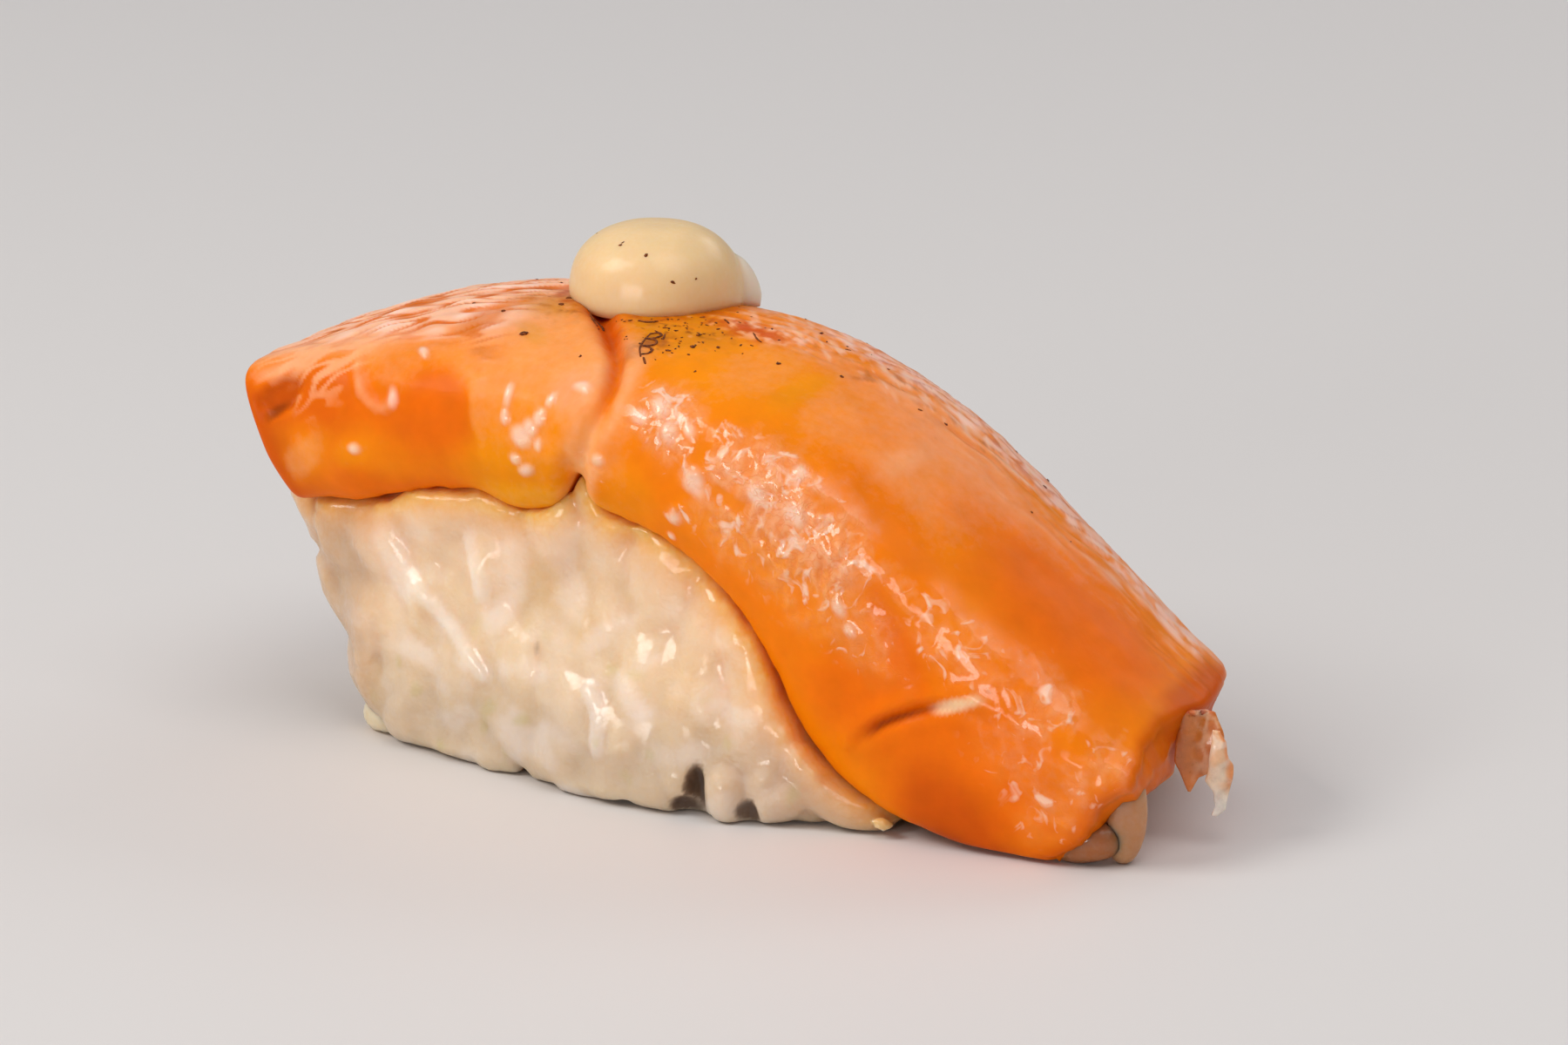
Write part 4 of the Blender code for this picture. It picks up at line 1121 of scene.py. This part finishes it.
def build_rice(mat):
    rice, spots = rice_spots()
    step = 0.29
    lo, hi = np.array([-39.5, -17.2, -1.2]), np.array([29.5, 15.4, 22.4])
    field = Field(lo, hi, step)
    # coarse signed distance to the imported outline
    cs = 1.0
    cn = np.ceil((hi - lo) / cs).astype(int) + 2
    coarse = np.zeros(cn)
    for i in range(cn[0]):
        for j in range(cn[1]):
            for k in range(cn[2]):
                p = Vector(lo + cs * np.array([i, j, k]))
                d = rice.find_nearest(p)[3]
                coarse[i, j, k] = -d if within(rice, p) else d

    near = np.zeros(cn)
    slab = world_bvh("salmon")[0]
    for i in range(cn[0]):
        for j in range(cn[1]):
            for k in range(cn[2]):
                if abs(coarse[i, j, k]) < 3.5:
                    near[i, j, k] = slab.find_nearest(Vector(lo + cs * np.array([i, j, k])))[3]
                else:
                    near[i, j, k] = 9.0

    def outline(p, coarse=coarse):
        g = (p - lo) / cs
        i = np.clip(np.floor(g).astype(int), 0, cn - 2)
        f = g - i
        v = 0.0
        for dx in (0, 1):
            for dy in (0, 1):
                for dz in (0, 1):
                    wgt = ((f[..., 0] if dx else 1 - f[..., 0]) * (f[..., 1] if dy else 1 - f[..., 1])
                           * (f[..., 2] if dz else 1 - f[..., 2]))
                    v = v + wgt * coarse[i[..., 0] + dx, i[..., 1] + dy, i[..., 2] + dz]
        return v

    x, y, z = [field.lo[k] + step * np.arange(field.n[k]) for k in range(3)]
    pts = np.stack(np.meshgrid(x, y, z, indexing="ij"), -1)
    under = outline(pts, near)
    # the rice fills out to the draped edge, and its right end is rounded off
    # under the overhanging slab
    dist = outline(pts) - (0.26 * np.exp(-(under / 1.4) ** 2)
                           * smooth(pts[..., 0], -29.0, -25.5))
    limit = np.interp(pts[..., 1], (-16, -11, 2.5, 15), (26.4, 25.6, 18.4, 20.5))
    wedge = (smooth(pts[..., 0], 10.5, 13.0) * smooth(2.8 - pts[..., 2], 0.0, 1.0)
             * smooth(-pts[..., 1], 6.0, 9.0))
    dist = dist + 0.9 * wedge
    cut = (pts[..., 0] - limit) * 0.87 + 0.5 * noise(pts, 3.3, 94)
    dist = np.maximum(dist, cut)
    lumps = 0.25 * noise(pts, 2.4, 91)
    field.val[:] = np.clip(dist + 0.95 + lumps, -3, 3)
    field.tone[:] = -0.5
    # second layer, deeper, fills the gaps of the first
    for p, n in spots:
        jit = rng.normal(0, 1.0, 3)
        turn = grain_turn(n, rng.uniform(0, np.pi), rng.normal(0, 0.25))
        size = grain_size()
        field.add_grain(p + jit - n * (size[2] + rng.uniform(0.1, 0.7)), turn, size,
                        rng.uniform(-0.2, 0.3), rng.uniform(-0.8, 0.4), 0.6)
    for p, n in spots:
        turn = grain_turn(n, rng.normal(np.pi * 0.74, 0.38), rng.normal(0, 0.10))
        size = grain_size()
        proud = rng.uniform(-0.30, 0.35)
        at = p - n * (size[2] - proud)
        at[2] = max(at[2], 1.15)
        field.add_grain(at, turn, size, rng.uniform(-0.15, 0.3), rng.uniform(-1, 1), 0.32)
    for at, n, angle, size, tone in SPECIAL_GRAINS:
        field.add_grain(np.array(at), grain_turn(np.array(n, float), np.radians(angle), 0.0),
                        np.array(size), 0.1, tone, 0.35)
    # the hand presses the heap flush: grains are cut level with the packed
    # outline and starch fills most of each gap between them
    lid = dist - 0.06 - 0.11 * noise(pts, 3.4, 92) - 0.05 * noise(pts, 1.3, 93)
    lid = lid - 0.17 * field.tone
    low = smooth(2.8 - pts[..., 2], 0.0, 2.0)
    left = smooth(-28.5 - pts[..., 0], 0.0, 3.0)
    loose = np.maximum(low, 0.25 * left)
    gap = field.val - lid
    gap = 0.5 * (gap + np.sqrt(gap ** 2 + 0.05))
    fill = 0.34 + 0.8 * loose
    field.val[:] = lid + fill * (1 - np.exp(-gap * (0.85 + 0.15 * loose) / fill))
    sunk = smooth(gap, 0.15, 1.0)
    for p, n in spots:
        if p[2] < 3.0 and p[0] < 3.0 and rng.random() < 0.35:
            size = grain_size() * rng.uniform(0.8, 1.0)
            at = p - n * (size[2] - rng.uniform(0.05, 0.30))
            at[2] = max(at[2], 1.2)
            field.add_grain(at, grain_turn(n, rng.uniform(0, np.pi), rng.normal(0, 0.1)), size, 0.1,
                            rng.uniform(-0.4, 0.8), 0.42)
    # thin raised edges where one grain stands over the next
    for keys, proud, half in RIDGES:
        line = path_points(keys, 24)
        for x0, z0 in line:
            ys = np.arange(-17.0, 0.0, 0.1)
            along_y = np.stack([x0 + 0 * ys, ys, z0 + 0 * ys], -1)
            y0 = ys[np.argmax(outline(along_y) < 0.06)]
            field.add_grain(np.array([x0, y0 + half - proud, z0]), np.eye(3),
                            np.array([half * 1.3, half, half * 1.3]), 0.0, 1.0, 0.30)
    for at, n, angle, size, tone in PROUD_GRAINS:
        field.add_grain(np.array(at), grain_turn(np.array(n, float), np.radians(angle), 0.0),
                        np.array(size), 0.1, tone, 0.4)
    for at, size in RICE_GAPS:
        r = np.linalg.norm((pts - at) / size, axis=-1)
        hole = ((1 - r) * min(size)).astype(np.float32)
        t = np.clip(0.5 - 0.5 * (field.val - hole) / 0.3, 0, 1)
        field.val[:] = field.val * (1 - t) + hole * t + 0.3 * t * (1 - t)
    field.val[:] = np.maximum(field.val, (0.02 - pts[..., 2]).astype(np.float32))
    verts, quads, cell = surface_net(field.val, field.lo, step)
    tone = field.tone[cell[:, 0], cell[:, 1], cell[:, 2]]
    deep = sunk[cell[:, 0], cell[:, 1], cell[:, 2]]
    verts[:, 2] = np.maximum(verts[:, 2], 0.0)
    c = grain_colour(tone, deep)
    # peach near the fish, painted orange light bounced from it, and orange right at its edge; darker low down and
    # at the left, painted shade
    by = outline(verts, near)
    c = mix(c, srgb(240, 186, 146), 0.35 * np.exp(-(by / 5.0) ** 2))
    cloud = noise(verts * (1, 1, 1.3), 2.6, 95)
    c = mix(c, srgb(249, 230, 212), 0.50 * smooth(cloud, 0.10, 0.55))
    c = mix(c, srgb(220, 200, 136), 0.45 * smooth(noise(verts, 1.5, 96), 0.35, 0.7)
            * smooth(-verts[:, 2], -11.0, -7.0))
    c = mix(c, srgb(226, 182, 142), 0.55 * smooth(-25.0 - verts[:, 0], 0.0, 3.5))
    c = mix(c, srgb(251, 174, 78), 0.95 * np.exp(-(by / 1.55) ** 2))
    # painted shade: the gaps in the rice are painted dark brown
    for (at, size), dark in zip(RICE_GAPS, (0.85, 0.9, 0.8, 0.4, 0.4)):
        r = np.linalg.norm((verts - at) / (size + 0.12), axis=1)
        c = mix(c, srgb(92, 58, 36), dark * (1 - smooth(r, 0.90, 1.06)))
    # painted shade: darker low down and at the left
    low_left_shade = np.maximum(smooth(8.5 - verts[:, 2], 0, 6.0), smooth(-25.5 - verts[:, 0], 0, 4.0))
    c = c * (1 - np.array([0.24, 0.23, 0.20]) * low_left_shade[:, None])
    ob = make("rice_pressed", verts, quads, mat, attrs={"deep": deep}, colours={"grain": c})
    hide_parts("rice")
    return ob, spots


def grain_mesh(at, turn, size, bend, rows=14, cols=18):
    """One loose cooked grain as a closed mesh."""
    t = np.linspace(0, np.pi, rows + 1)[1:-1]
    p = np.arange(cols) / cols * 2 * np.pi
    r = np.sin(t)[:, None] ** 0.85
    u = np.cos(t)[:, None] * size[0] + 0 * p
    v = r * np.cos(p) * size[1]
    w = r * np.sin(p) * size[2] - bend * (u / size[0]) ** 2
    local = np.stack([u, v, w], -1).reshape(-1, 3)
    local = np.vstack([local, [[size[0], 0, -bend], [-size[0], 0, -bend]]])
    local += 0.09 * np.stack([noise(local + at, 2.0, 100 + k) for k in range(3)], -1)
    pts = at + local @ turn
    faces = [f.tolist() for f in grid_faces(rows - 1, cols, closed=True)]
    top, bot = len(pts) - 2, len(pts) - 1
    last = (rows - 2) * cols
    faces += [[top, (k + 1) % cols, k] for k in range(cols)]
    faces += [[bot, last + k, last + (k + 1) % cols] for k in range(cols)]
    return pts, faces


def build_loose_grains(mat, spots):
    items = []

    def add(at, normal, angle, size, proud_tilt=0.0, tone=0.0, bend=0.15):
        at = np.array(at, float)
        turn = grain_turn(np.array(normal, float), np.radians(angle), proud_tilt)
        items.append((at, turn, np.array(size), bend, tone))

    # the grains that show under the hanging end, given the lowest tones as painted shade, and a few at the foot
    add((25.9, -8.9, 2.9), (0.45, -0.89, 0), 86, (3.0, 1.30, 1.2), tone=-2.15)
    add((23.6, -10.0, 1.4), (0.1, -1, 0), 10, (2.5, 1.4, 1.3), tone=-2.9)
    add((-27.6, -9.2, 1.35), (-0.5, -0.8, 0), 20, (2.6, 1.4, 1.25), tone=-0.4)
    add((-13.9, 13.4, 1.3), (0.0, 1, 0), 12, (2.9, 1.5, 1.3), tone=0.1)
    add((5.2, 13.2, 1.4), (0.1, 1, 0), 160, (2.8, 1.5, 1.3), tone=-0.2)
    verts, faces, tones = [], [], []
    base = 0
    for at, turn, size, bend, tone in items:
        v, f = grain_mesh(at, turn, size, bend)
        v[:, 2] = np.maximum(v[:, 2], 0.02)
        verts.append(v)
        faces += [[i + base for i in q] for q in f]
        tones.append(np.full(len(v), tone))
        base += len(v)
    verts = np.vstack(verts)
    tones = np.concatenate(tones)
    ob = make("rice_loose_grains", verts, faces, mat,
              colours={"grain": grain_colour(tones, 0 * tones)})
    return ob


# =================================================================== dollop
def build_dollop(mat, slab_ob):
    bm = bmesh.new()
    bm.from_mesh(slab_ob.data)
    tree = BVHTree.FromBMesh(bm)
    bm.free()

    def top(x, y):
        hit = tree.ray_cast(((x - SHIFT[0]) * MM, (y - SHIFT[1]) * MM, 0.06), (0, 0, -1))
        return hit[0].z / MM

    rows, cols = 56, 128
    phi = np.arange(cols) / cols * 2 * np.pi
    turn = (phi - LOBE_TURN + np.pi) % (2 * np.pi) - np.pi
    foot = np.array([top(DOLLOP_X + DOLLOP_FOOT_R * np.cos(p), DOLLOP_Y + DOLLOP_FOOT_R * np.sin(p))
                     for p in phi])
    # the foot bridges the seam and the wrinkles
    lap = np.abs((np.arange(cols) + cols // 2) % cols - cols // 2)
    kern = np.exp(-(lap / 9.0) ** 2)
    foot = np.real(np.fft.ifft(np.fft.fft(foot) * np.fft.fft(kern / kern.sum())))
    crown = top(DOLLOP_X, DOLLOP_Y)
    rings, lobe = [], []
    for i in range(rows):
        t = i / (rows - 1)
        ang = (t ** 0.9) * np.pi / 2 * 0.97
        r = DOLLOP_R * np.cos(ang) ** (2 / DOLLOP_FLAT)
        h = DOLLOP_H * np.sin(ang) ** (2 / DOLLOP_FLAT)
        r = r - (DOLLOP_R - DOLLOP_FOOT_R) * (1 - smooth(h, 0, 0.7))
        # the second lobe is a small round blob that leans on the first
        lr = 2.45 * np.sqrt(max(1 - (h / LOBE_H) ** 2, 0.0)) - 0.15 * (1 - smooth(h, 0, 0.8))
        inside = lr ** 2 - (4.35 * np.sin(turn)) ** 2
        far = np.where((inside > 0) & (np.cos(turn) > 0), 4.35 * np.cos(turn)
                       + np.sqrt(np.maximum(inside, 0)), 0.0)
        soft = np.clip(0.5 + 0.5 * (far - r) / 0.25, 0, 1)
        out = r * (1 - soft) + far * soft + 0.12 * soft * (1 - soft)
        lobe.append(soft)
        fade = (1 - t) ** 1.6
        zz = crown + h + (foot - crown) * fade - 0.12 * fade
        rings.append(np.stack([DOLLOP_X + out * np.cos(phi), DOLLOP_Y + out * np.sin(phi), zz], -1))
    rings = np.array(rings)
    wob = np.stack([fbm(rings, 5.0, 200 + k, 2) for k in range(3)], -1)
    up = smooth(np.linspace(0, 1, rows), 0.0, 0.2)[:, None, None]
    rings = rings + 0.14 * wob * up
    # soft flats left by the spoon
    mid = np.array([DOLLOP_X, DOLLOP_Y, crown + 1.6])
    for nrm, reach, keep in (((0.55, -0.45, 0.70), 4.75, 0.4), ((0.20, -0.97, 0.2), 5.2, 0.5)):
        nrm = np.array(nrm) / np.linalg.norm(nrm)
        past = (rings - mid) @ nrm - reach
        rings = rings - nrm * (np.log1p(np.exp(past * 5)) / 5 * (1 - keep))[..., None]
    verts = np.vstack([rings.reshape(-1, 3), [[DOLLOP_X, DOLLOP_Y, rings[-1, :, 2].mean() + 0.05],
                                              [DOLLOP_X, DOLLOP_Y, crown - 0.3]]])
    faces = [f.tolist() for f in grid_faces(rows, cols, closed=True)]
    t_, b_ = len(verts) - 2, len(verts) - 1
    last = (rows - 1) * cols
    faces += [[t_, last + k, last + (k + 1) % cols] for k in range(cols)]
    faces += [[b_, (k + 1) % cols, k] for k in range(cols)]
    c = np.zeros((len(verts), 3)) + srgb(236, 202, 150)
    c = mix(c, srgb(234, 194, 142), 0.45 * smooth(fbm(verts, 4.0, 211), 0.0, 0.6))
    low = 1 - smooth(verts[:, 2] - crown, -0.6, 1.0)
    c = mix(c, srgb(236, 176, 108), 0.40 * low)
    # painted highlight: the second lobe is painted whitish
    pale = np.concatenate([np.array(lobe).ravel(), [0.0, 0.0]])
    c = mix(c, srgb(236, 224, 208), 0.75 * pale)
    # painted shade: the right side is painted a little darker
    right = smooth((verts[:, 0] - DOLLOP_X) * 0.86 + (verts[:, 1] - DOLLOP_Y) * 0.51, 1.0, 4.5)
    c = mix(c, srgb(232, 192, 132), 0.15 * right * (1 - pale))
    ob = make("sauce_dollop_body", verts, faces, mat, colours={"sauce": c})
    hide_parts("sauce_dollop")
    return ob, crown


# ============================================================= small details
def speck_mesh(at, normal, size, seed):
    """A tiny flat irregular fleck lying on a surface."""
    r = np.random.default_rng(seed)
    turn = grain_turn(normal, r.uniform(0, np.pi), 0)
    pts, faces = grain_mesh(np.zeros(3), np.eye(3), np.array(size), 0.0, 6, 8)
    pts = pts * (1 + 0.25 * r.normal(size=(len(pts), 1)))
    return at + pts @ turn, faces


def build_marks(mat, grid, dollop_ob):
    """Char strokes and flecks on the slab, dark specks on the sauce."""
    verts, faces = [], []
    base = 0

    def put(v, f):
        nonlocal base
        verts.append(v)
        faces.extend([[i + base for i in q] for q in f])
        base += len(v)

    def stroke(keys, width):
        line = path_points(keys, max(6, int(len(keys) * 5)))
        ring = 6
        rows = []
        last = None
        for i, (aa, ww) in enumerate(line):
            p, n = on_face(grid, aa, ww)
            t = np.sin(np.pi * (i + 0.5) / len(line)) ** 0.5
            r = width * (0.55 + 0.45 * t) * (0.8 + 0.4 * rng.random())
            q, _ = on_face(grid, *(line[i + 1] if i + 1 < len(line) else line[i - 1]))
            d = (q - p) if i + 1 < len(line) else (p - q)
            if np.linalg.norm(d) < 1e-6:
                continue
            d = d / np.linalg.norm(d)
            s = np.cross(n, d)
            s /= np.linalg.norm(s)
            ph = np.arange(ring) / ring * 2 * np.pi
            rows.append(p + 0.25 * r * n + r * (np.cos(ph)[:, None] * s + 0.5 * np.sin(ph)[:, None] * n))
        rows = np.array(rows)
        v = rows.reshape(-1, 3)
        f = [q.tolist() for q in grid_faces(len(rows), ring, closed=True)]
        f.append(list(range(ring)))
        f.append([(len(rows) - 1) * ring + k for k in range(ring)][::-1])
        put(v, f)

    # scribble of char beside the seam
    stroke(((28.1, 5.4), (28.5, 5.0), (28.9, 5.3), (28.6, 5.9), (28.2, 6.0)), 0.10)
    stroke(((28.3, 6.1), (28.9, 6.0), (29.2, 6.5), (28.8, 7.1), (28.3, 6.9)), 0.10)
    stroke(((28.8, 7.1), (29.4, 7.2), (29.5, 7.8), (29.1, 8.2)), 0.09)
    stroke(((28.1, 5.2), (28.3, 6.3), (28.7, 7.5), (29.3, 8.4)), 0.07)
    stroke(((29.5, 8.4), (30.0, 9.0)), 0.07)
    stroke(((29.0, 5.0), (29.3, 5.7)), 0.07)
    # scorched line by the dollop's foot
    stroke(((22.4, 3.3), (22.9, 3.9), (23.6, 4.0), (24.1, 4.5)), 0.11)
    stroke(((23.2, 4.4), (23.9, 4.9)), 0.08)
    stroke(((26.3, 3.8), (26.9, 3.7), (27.4, 3.2)), 0.10)
    stroke(((30.9, 0.9), (31.5, 1.4)), 0.08)
    stroke(((33.6, 1.9), (34.3, 2.6), (34.8, 2.9)), 0.07)
    spots = [(20.4, 7.9, 0.22), (20.3, 3.3, 0.16), (19.8, 1.7, 0.14), (17.4, 5.6, 0.13),
             (37.2, 4.8, 0.13), (31.0, 4.2, 0.12), (25.4, 9.3, 0.08), (40.8, 3.0, 0.10),
             (14.2, 4.2, 0.09), (31.6, 5.9, 0.14), (30.4, 6.9, 0.12), (33.0, 5.2, 0.12)]
    for i, (aa, ww, r) in enumerate(spots):
        p, n = on_face(grid, aa, ww)
        put(*speck_mesh(p + 0.02 * n, n, (r * 1.3, r, r * 0.5), 300 + i))
    for i in range(80):
        aa, ww = 29.5 + rng.normal(0, 2.2), 4.2 + rng.normal(0, 1.8)
        if np.hypot(*(on_face(grid, aa, ww)[0][:2] - (DOLLOP_X, DOLLOP_Y))) < 5.4:
            continue
        r = rng.uniform(0.03, 0.08)
        p, n = on_face(grid, aa, ww)
        put(*speck_mesh(p + 0.01 * n, n, (r * rng.uniform(1, 2.4), r, r * 0.5), 400 + i))
    for i in range(40):
        aa, ww = rng.uniform(8, 60), rng.uniform(-9, 1.5)
        r = rng.uniform(0.04, 0.11)
        p, n = on_face(grid, aa, ww)
        if np.hypot(p[0] - DOLLOP_X, p[1] - DOLLOP_Y) < 5.6:
            continue
        put(*speck_mesh(p + 0.01 * n, n, (r * rng.uniform(1, 2.4), r, r * 0.5), 500 + i))
    # specks in the sauce
    me = dollop_ob.data
    co = np.array([v.co for v in me.vertices]) / MM + SHIFT
    nn = np.array([v.normal for v in me.vertices])
    for i in range(7):
        j = int(rng.integers(10 * 128, 40 * 128))
        r = rng.uniform(0.05, 0.12)
        put(*speck_mesh(co[j], nn[j], (r * 1.4, r, r * 0.45), 600 + i))
    ob = make("char_and_specks", np.vstack(verts), faces, mat)
    return ob


def build_flap(mat, grid):
    """Torn tissue that hangs from the slab's right end: a wide brownish panel
    and a paler strand in front of its outer edge."""
    end = grid[2][-1][BACK_N - 60:BACK_N + 100][::-1]
    # outlines across the slanting end: (across, height), left edge then right
    parts = (
        (((26.9, 9.2), (26.5, 7.6), (26.2, 6.4), (26.0, 5.0), (26.1, 3.9), (26.5, 3.1), (27.0, 2.3)),
         ((27.6, 9.2), (28.6, 8.0), (29.0, 7.2), (29.4, 6.0), (29.2, 4.7), (28.4, 3.6), (27.6, 3.1),
          (27.2, 2.3)), 0),
        (((28.7, 6.4), (28.5, 5.1), (28.4, 4.0), (28.2, 3.1), (28.7, 2.3), (29.1, 1.6), (28.7, 0.9)),
         ((29.2, 6.4), (29.7, 5.3), (30.2, 4.4), (30.2, 3.4), (29.9, 2.3), (29.8, 1.5), (29.0, 0.9)), 1),
    )
    verts, faces, cols_ = [], [], []
    base = 0
    for left, right, kind in parts:
        rows, cols = 44, 22
        z = np.linspace(left[0][1], left[-1][1], rows)
        lk = np.array(left)[::-1]
        rk = np.array(right)[::-1]
        al, ar = np.interp(z, lk[:, 1], lk[:, 0]), np.interp(z, rk[:, 1], rk[:, 0])
        s = np.linspace(0, 1, cols)
        across = al[:, None] * (1 - s) + ar[:, None] * s
        t = np.linspace(0, 1, rows)[:, None]
        # the sheet starts on the slab's end and flares outward from it
        y0 = np.interp(21.37, 0.858 * end[:, 0] + 0.513 * end[:, 1], end[:, 1])
        x0 = np.interp(y0, end[:, 1], end[:, 0])
        wave = 0.22 * np.sin(1.9 * across + 3.0 * t + 2.0 * kind) + (-0.1, 0.3)[kind]
        x = x0 + 0.736 * (across - 26.75) + 0.513 * wave
        y = y0 + 0.440 * (across - 26.75) - 0.858 * wave
        zz = z[:, None] + 0.7 + 0.274 * (0.513 * (x - across) - 0.858 * (y + 2.0))
        zz = np.minimum(zz, np.interp(y, end[:, 1], end[:, 2]) + 0.25 + 0.05 * (zz - 9.0))
        mid = np.stack([x, y, zz], -1)
        calm = smooth(t, 0.0, 0.15)[..., None]
        mid = mid + 0.22 * calm * np.stack([noise(mid, 1.3, 700 + 10 * kind + k) for k in range(3)], -1)
        du, dv = np.gradient(mid, axis=1), np.gradient(mid, axis=0)
        n = np.cross(du, dv)
        n /= np.maximum(np.linalg.norm(n, axis=2, keepdims=True), 1e-9)
        thick = 0.16 * (np.sin(np.pi * s) ** 0.5)[None] * (1 - 0.5 * t) + 0.03
        thick = thick * (0.7 + 0.6 * ridged(mid, 1.0, 705))
        v = np.vstack([(mid + n * thick[..., None]).reshape(-1, 3),
                       (mid - n * thick[..., None]).reshape(-1, 3)])
        size = rows * cols
        f = grid_faces(rows, cols).tolist() + grid_faces(rows, cols, start=size)[:, ::-1].tolist()
        loop = ([(0, c) for c in range(cols)] + [(r, cols - 1) for r in range(1, rows)]
                + [(rows - 1, c) for c in range(cols - 2, -1, -1)] + [(r, 0) for r in range(rows - 2, 0, -1)])
        ids = [r * cols + c for r, c in loop]
        for i in range(len(ids)):
            p, q = ids[i], ids[(i + 1) % len(ids)]
            f.append([p, q, q + size, p + size])
        faces += [[q + base for q in one] for one in f]
        verts.append(v)
        tt, ss = t + 0 * y, s[None] + 0 * y
        net = smooth(ridged(mid, 1.1, 706), 0.45, 0.9)
        if kind == 0:
            c = np.zeros(mid.shape) + srgb(208, 120, 48)
            c = mix(c, srgb(222, 98, 40), 0.7 * smooth(0.30 - tt, 0.0, 0.2))
            c = mix(c, srgb(190, 112, 60), 0.6 * smooth(0.4 - ss, 0.0, 0.3) * smooth(tt, 0.1, 0.4))
            c = mix(c, srgb(238, 190, 150), 0.6 * net * smooth(ss, 0.3, 0.7))
            c = mix(c, srgb(236, 134, 52), 0.7 * smooth(tt, 0.75, 0.95))
            c = mix(c, srgb(176, 58, 26), 0.6 * smooth(noise(mid, 0.8, 707), 0.3, 0.6) * smooth(0.35 - tt, 0, 0.2))
        else:
            c = np.zeros(mid.shape) + srgb(238, 190, 148)
            c = mix(c, srgb(240, 140, 66), 0.8 * smooth(ss, 0.6, 0.9) * (1 - smooth(tt, 0.5, 0.8)))
            c = mix(c, srgb(240, 230, 220), 0.9 * smooth(tt, 0.60, 0.85))
            c = mix(c, srgb(252, 232, 214), 0.5 * net)
        cols_.append(np.vstack([c.reshape(-1, 3)] * 2))
        base += len(v)
    ob = make("torn_membrane", np.vstack(verts), faces, mat, colours={"flesh": np.vstack(cols_)})
    return ob


# ==================================================================== stage
def build_stage():
    m = Nodes("floor_paper")
    m.set(Roughness=0.6)
    m.set(Base_Color=(*srgb(222, 218, 215), 1))
    me = bpy.data.meshes.new("floor")
    # a sweep: flat in front and under, then curving up far behind and all round
    rings = []
    prof = [(0.0, 0.0), (0.6, 0.0), (1.4, 0.0), (2.2, 0.03), (2.9, 0.2), (3.4, 0.6), (3.7, 1.3), (3.8, 2.6)]
    cols = 96
    ph = np.arange(cols) / cols * 2 * np.pi
    for r, z in prof[1:]:
        rings.append(np.stack([r * np.cos(ph), r * np.sin(ph), 0 * ph + z], -1))
    verts = np.vstack([np.array(rings).reshape(-1, 3), [[0, 0, 0]]])
    verts[:, 2] -= 0.00004
    faces = [f.tolist() for f in grid_faces(len(prof) - 1, cols, closed=True)]
    c = len(verts) - 1
    faces += [[c, k, (k + 1) % cols] for k in range(cols)]
    me.from_pydata(verts.tolist(), [], faces)
    me.shade_smooth()
    me.materials.append(m.mat)
    ob = bpy.data.objects.new("floor", me)
    bpy.context.scene.collection.objects.link(ob)

    world = bpy.data.worlds.new("studio")
    world.use_nodes = True
    bg = world.node_tree.nodes["Background"]
    bg.inputs["Color"].default_value = (0.93, 0.95, 1.0, 1)
    bg.inputs["Strength"].default_value = 0.46
    bpy.context.scene.world = world

    def lamp(name, azim, elev, dist, size, power, tint=(1, 1, 1)):
        li = bpy.data.lights.new(name, "AREA")
        li.shape = "RECTANGLE"
        li.size, li.size_y = size
        li.energy = power
        li.color = tint
        o = bpy.data.objects.new(name, li)
        a, e = np.radians(azim), np.radians(elev)
        pos = Vector((np.sin(a) * np.cos(e), -np.cos(a) * np.cos(e), np.sin(e))) * dist
        o.location = pos + Vector((0, 0, 0.012))
        o.rotation_euler = (-pos).to_track_quat("-Z", "Y").to_euler()
        bpy.context.scene.collection.objects.link(o)

    lamp("key", -42, 42, 0.75, (0.34, 0.30), 2.4, (1.0, 0.985, 0.96))
    lamp("front", -6, 10, 0.9, (0.30, 0.18), 1.5, (1.0, 0.985, 0.96))
    lamp("over", 60, 66, 0.85, (0.55, 0.55), 2.0, (1.0, 0.99, 0.98))
    lamp("rim", 165, 36, 0.9, (0.5, 0.3), 1.0, (1.0, 0.99, 1.0))


def build_camera():
    cam = bpy.data.cameras.new("camera")
    cam.lens = 150
    cam.sensor_width = 36
    cam.clip_start, cam.clip_end = 0.02, 20
    ob = bpy.data.objects.new("camera", cam)
    ob.location = (0.20405, -0.34102, 0.12425)
    aim = Vector((0.0015, 0.0, 0.0155))
    ob.rotation_euler = (aim - ob.location).to_track_quat("-Z", "Y").to_euler()
    bpy.context.scene.collection.objects.link(ob)
    bpy.context.scene.camera = ob


def main():
    bpy.context.scene.view_settings.view_transform = "Standard"
    bpy.context.scene.view_settings.look = "None"
    build_stage()
    build_camera()
    salmon = salmon_material()
    rice = rice_material()
    slab_ob, grid = build_salmon(salmon)
    _, spots = build_rice(rice)
    build_loose_grains(rice, spots)
    dollop_ob, _ = build_dollop(mayo_material(), slab_ob)
    build_marks(char_material(), grid, dollop_ob)
    build_flap(membrane_material(), grid)


main()
